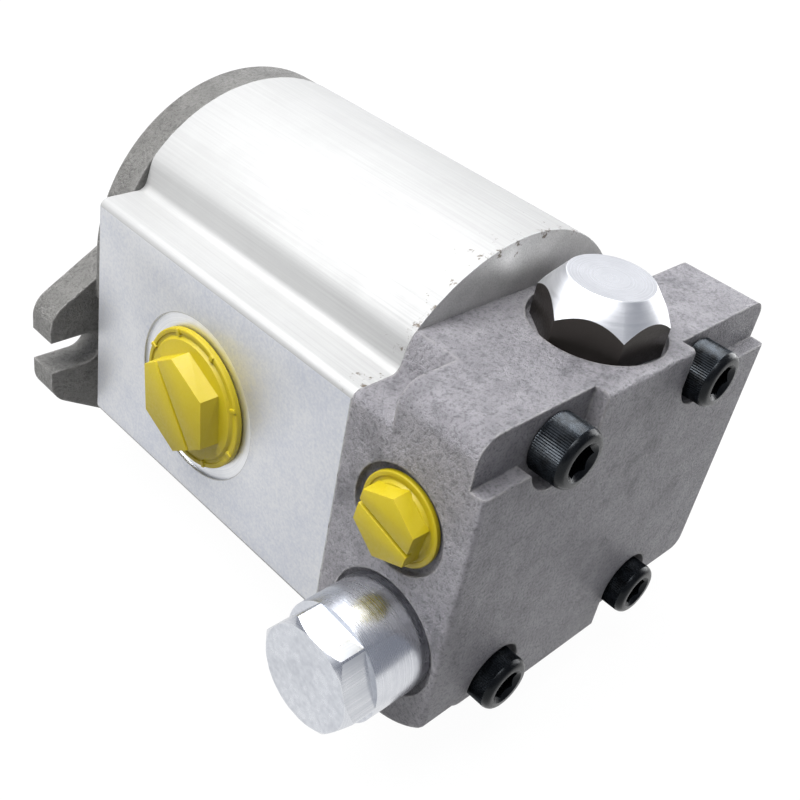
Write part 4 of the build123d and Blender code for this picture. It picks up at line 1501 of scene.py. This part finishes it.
@dataclass
class TransportPlug(SubAssembly):
    """A yellow plug: hollow threaded stub, collar, and a hexagon with a screwdriver slot."""

    node: str
    body: str
    facing: Facing
    stub_radius: float
    stub_length: float
    collar_radius: float
    collar_height: float
    hex_across: float
    height: float
    turn: float
    slot_turn: float
    lugs: int = 8
    lug_length: float = 1.9
    lug_width: float = 1.1
    draft: float = 2.0
    wall: float = 2.2
    slot_width: float = 1.2
    slot_depth: float = 1.6
    thread_pitch: float = 1.9
    thread_depth: float = 0.7

    def thread(self) -> list[Step]:
        """Draws the stub's thread as rings.

        Returns:
            The grooves' steps, from the lowest up.
        """
        r, pitch = self.stub_radius, self.thread_pitch
        steps = []
        for number in range(int((self.stub_length - 3.0) / pitch)):
            start = -self.stub_length + 1.4 + number * pitch
            steps += [
                (start, r),
                (start + pitch * 0.4, r - self.thread_depth),
                (start + pitch * 0.5, r - self.thread_depth),
                (start + pitch * 0.9, r),
            ]
        return steps

    def plug(self) -> bpy.types.Object:
        """Models the plug about +Z, the underside of its collar at the origin.

        Returns:
            The plug.
        """
        r, c, h = self.stub_radius, self.collar_radius, self.collar_height
        piece = turn_up(
            self.node + "_moulded",
            [
                (-self.stub_length, r - 1.1),
                (-self.stub_length + 1.1, r),
                *self.thread(),
                (-0.4, r),
                (0, r),
                (0, c - 0.3),
                (0.3, c),
                (h * 0.7, c),
                (h * 0.8, c - 0.3),
                (h * 0.8, c - 1.3),
                (h * 0.62, c - 1.5),
                (h * 0.62, c - 2.4),
                (h, c - 3.0),
                (h + 0.01, r * 0.5),
            ],
        )
        lug = (self.lug_length, self.lug_width, h * 0.5)
        for number in range(self.lugs):
            turn = 360 * (number + 0.5) / self.lugs
            across, up = math.cos(math.radians(turn)), math.sin(math.radians(turn))
            place = ((c - 1.0) * across, (c - 1.0) * up, h * 0.7)
            combine(piece, bar("lug_part", lug, place, turn), "UNION")
        corner = corner_radius(self.hex_across)
        taper = math.tan(math.radians(self.draft)) / math.cos(math.radians(30))
        shrink = (self.height - h) * taper
        head = [(h - 0.5, corner), (h, corner), (self.height, corner - shrink)]
        hollow = [(-self.stub_length - 1, r - self.wall), (-self.wall, r - self.wall)]
        slot = (2 * self.hex_across, self.slot_width, 2 * self.slot_depth)
        middle = (0, 0, self.height)
        combine(piece, turn_up("hexagon_part", head, sides=6, turn=self.turn), "UNION")
        combine(piece, turn_up("hollow_cutter", hollow, sides=64), "DIFFERENCE")
        combine(piece, bar("slot_cutter", slot, middle, self.slot_turn), "DIFFERENCE")
        soften(piece, 0.25, 28.0)
        return piece

    def build(self) -> list[bpy.types.Object]:
        """Models and dresses the group's pieces.

        Returns:
            The pieces.
        """
        low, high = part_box(self.node)
        middle = (low + high) / 2
        if self.facing is Facing.LEFT:
            middle.x = low.x + self.height * MM
        else:
            middle.x = high.x - self.height * MM
        piece = seat(self.plug(), self.facing, middle)
        paint(piece, YELLOW_PLASTIC)
        smooth(piece)
        return [stand_in(piece, self.node, self.body)]


# Studio

@dataclass
class Studio:
    """Pale floor, soft lamps and the camera at the photograph's angle.

    A lamp has a name, its place and its width in mm, and its power in watts. What the camera
    sees of the floor glows: in part near the pump, where it takes the shadow, and wholly far off.
    """

    floor_height: float = -47.3
    floor_width: float = 12000.0
    floor_colour: str = "#7c7c7c"
    glow: float = 1.14
    glow_share: float = 0.85
    glow_from: float = 250.0
    glow_full: float = 800.0
    sky: str = "#e8eeff"
    sky_strength: float = 0.32
    eye: tuple[float, float, float] = (-211.66, -266.02, 205.40)
    sight: tuple[float, float, float] = (0.63599, 0.51285, -0.57663)
    upward: tuple[float, float, float] = (0.31147, 0.51306, 0.79984)
    focal_pixels: float = 1121.43
    frame_pixels: float = 800.0
    sensor: float = 36.0
    aim: tuple[float, float, float] = (0.0, -70.0, 20.0)
    lamps: tuple[tuple[str, tuple[float, float, float], float, float], ...] = (
        ("overhead", (-380.0, 140.0, 1050.0), 1100.0, 38.0),
        ("behind_pump", (900.0, 720.0, 820.0), 1300.0, 5.0),
        ("right", (1200.0, -300.0, 350.0), 800.0, 9.0),
        ("left", (-1100.0, 100.0, 500.0), 800.0, 1.6),
        ("behind_camera", (-300.0, -1100.0, 400.0), 800.0, 0.4),
    )

    def camera(self) -> None:
        """Puts the camera where the photograph was taken."""
        data = bpy.data.cameras.new("photo_view")
        data.sensor_width = self.sensor
        data.lens = self.sensor * self.focal_pixels / self.frame_pixels
        data.clip_start, data.clip_end = 0.01, 50.0
        eye = bpy.data.objects.new("photo_view", data)
        bpy.context.scene.collection.objects.link(eye)
        forward, up = Vector(self.sight).normalized(), Vector(self.upward).normalized()
        right = forward.cross(up).normalized()
        turn = Matrix((right, right.cross(forward), -forward)).transposed().to_4x4()
        eye.matrix_world = Matrix.Translation(Vector(self.eye) * MM) @ turn
        bpy.context.scene.camera = eye

    def floor(self) -> None:
        """Lays the floor: matt white board that still takes a soft shadow."""
        bpy.ops.object.select_all(action="DESELECT")
        bpy.ops.mesh.primitive_plane_add(
            size=self.floor_width * MM, location=(0, 0, self.floor_height * MM)
        )
        board = bpy.context.object
        board.name = "studio_floor"
        made = bpy.data.materials.new("white_board")
        made.use_nodes = True
        tree = made.node_tree
        tree.nodes.clear()
        rays = add_node(tree, "ShaderNodeLightPath").outputs
        seen = rays["Is Camera Ray"]
        for ray in (rays["Is Glossy Ray"], rays["Is Transmission Ray"]):
            seen = add_node(tree, "ShaderNodeMath", {0: seen, 1: ray}, operation="MAXIMUM")
        place = add_node(tree, "ShaderNodeTexCoord").outputs["Object"]
        away = add_node(tree, "ShaderNodeVectorMath", {0: place}, operation="LENGTH")
        near = add_node(
            tree,
            "ShaderNodeMapRange",
            {
                "Value": away.outputs["Value"],
                "From Min": self.glow_from * MM,
                "From Max": self.glow_full * MM,
                "To Min": self.glow_share,
                "To Max": 1.0,
            },
        )
        share = add_node(tree, "ShaderNodeMath", {0: seen, 1: near}, operation="MULTIPLY")
        matt = add_node(tree, "ShaderNodeBsdfDiffuse", {"Color": linear(self.floor_colour)})
        glow = add_node(tree, "ShaderNodeEmission", {"Strength": self.glow})
        mixed = add_node(tree, "ShaderNodeMixShader", {0: share, 1: matt, 2: glow})
        add_node(tree, "ShaderNodeOutputMaterial", {"Surface": mixed})
        board.data.materials.append(made)

    def light(self) -> None:
        """Hangs the lamps and sets the world's even light."""
        for name, place, size, power in self.lamps:
            data = bpy.data.lights.new(name, "AREA")
            data.shape = "SQUARE"
            data.size = size * MM
            data.energy = power
            lamp = bpy.data.objects.new(name, data)
            bpy.context.scene.collection.objects.link(lamp)
            spot = Vector(place) * MM
            turn = (Vector(self.aim) * MM - spot).to_track_quat("-Z", "Y")
            lamp.matrix_world = Matrix.Translation(spot) @ turn.to_matrix().to_4x4()
        world = bpy.data.worlds.new("studio_air")
        bpy.context.scene.world = world
        world.use_nodes = True
        tree = world.node_tree
        tree.nodes.clear()
        seen = add_node(tree, "ShaderNodeLightPath").outputs["Is Camera Ray"]
        dim, white = (
            add_node(
                tree, "ShaderNodeBackground", {"Color": linear(colour), "Strength": strength}
            )
            for colour, strength in ((self.sky, self.sky_strength), ("#ffffff", 1.0))
        )
        mixed = add_node(tree, "ShaderNodeMixShader", {0: seen, 1: dim, 2: white})
        add_node(tree, "ShaderNodeOutputWorld", {"Surface": mixed})

    def build(self) -> None:
        """Sets up the floor, the light and the camera."""
        self.floor()
        self.light()
        self.camera()
        bpy.context.scene.view_settings.view_transform = "Standard"


def transport_plugs() -> list[TransportPlug]:
    """The three transport plugs: of the pressure port, the cover's port and the inlet port."""
    return [
        TransportPlug(
            node="body_port_plug",
            body="pressure_plug",
            facing=Facing.LEFT,
            stub_radius=16.55,
            stub_length=14.0,
            collar_radius=20.3,
            collar_height=2.4,
            hex_across=25.8,
            height=8.1,
            turn=36.0,
            slot_turn=130.0,
        ),
        TransportPlug(
            node="cover_port_plug",
            body="small_plug",
            facing=Facing.LEFT,
            stub_radius=9.4,
            stub_length=10.0,
            collar_radius=12.3,
            collar_height=2.0,
            hex_across=17.6,
            height=6.7,
            turn=22.0,
            slot_turn=165.0,
            lugs=0,
        ),
        TransportPlug(
            node="inlet_port_plug",
            body="suction_plug",
            facing=Facing.RIGHT,
            stub_radius=20.55,
            stub_length=14.0,
            collar_radius=25.0,
            collar_height=2.6,
            hex_across=31.8,
            height=9.1,
            turn=36.0,
            slot_turn=130.0,
        ),
    ]


def main() -> None:
    """Builds every sub-assembly in order, reports each piece and sets up the studio."""
    logging.basicConfig(level=logging.INFO, format="%(message)s")
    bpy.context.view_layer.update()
    groups = [
        PumpBody(),
        RearCover(),
        FrontFlange(),
        CoverScrews(),
        GearSet(),
        BearingSet(),
        ShaftSeal(),
        ReliefValve(),
        PriorityValve(),
        *transport_plugs(),
    ]
    for group in groups:
        for piece in group.build():
            LOG.info(
                "%s: %s, %d faces", type(group).__name__, piece.name, len(piece.data.polygons)
            )
    Studio().build()
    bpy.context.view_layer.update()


if __name__ == "__main__":
    main()
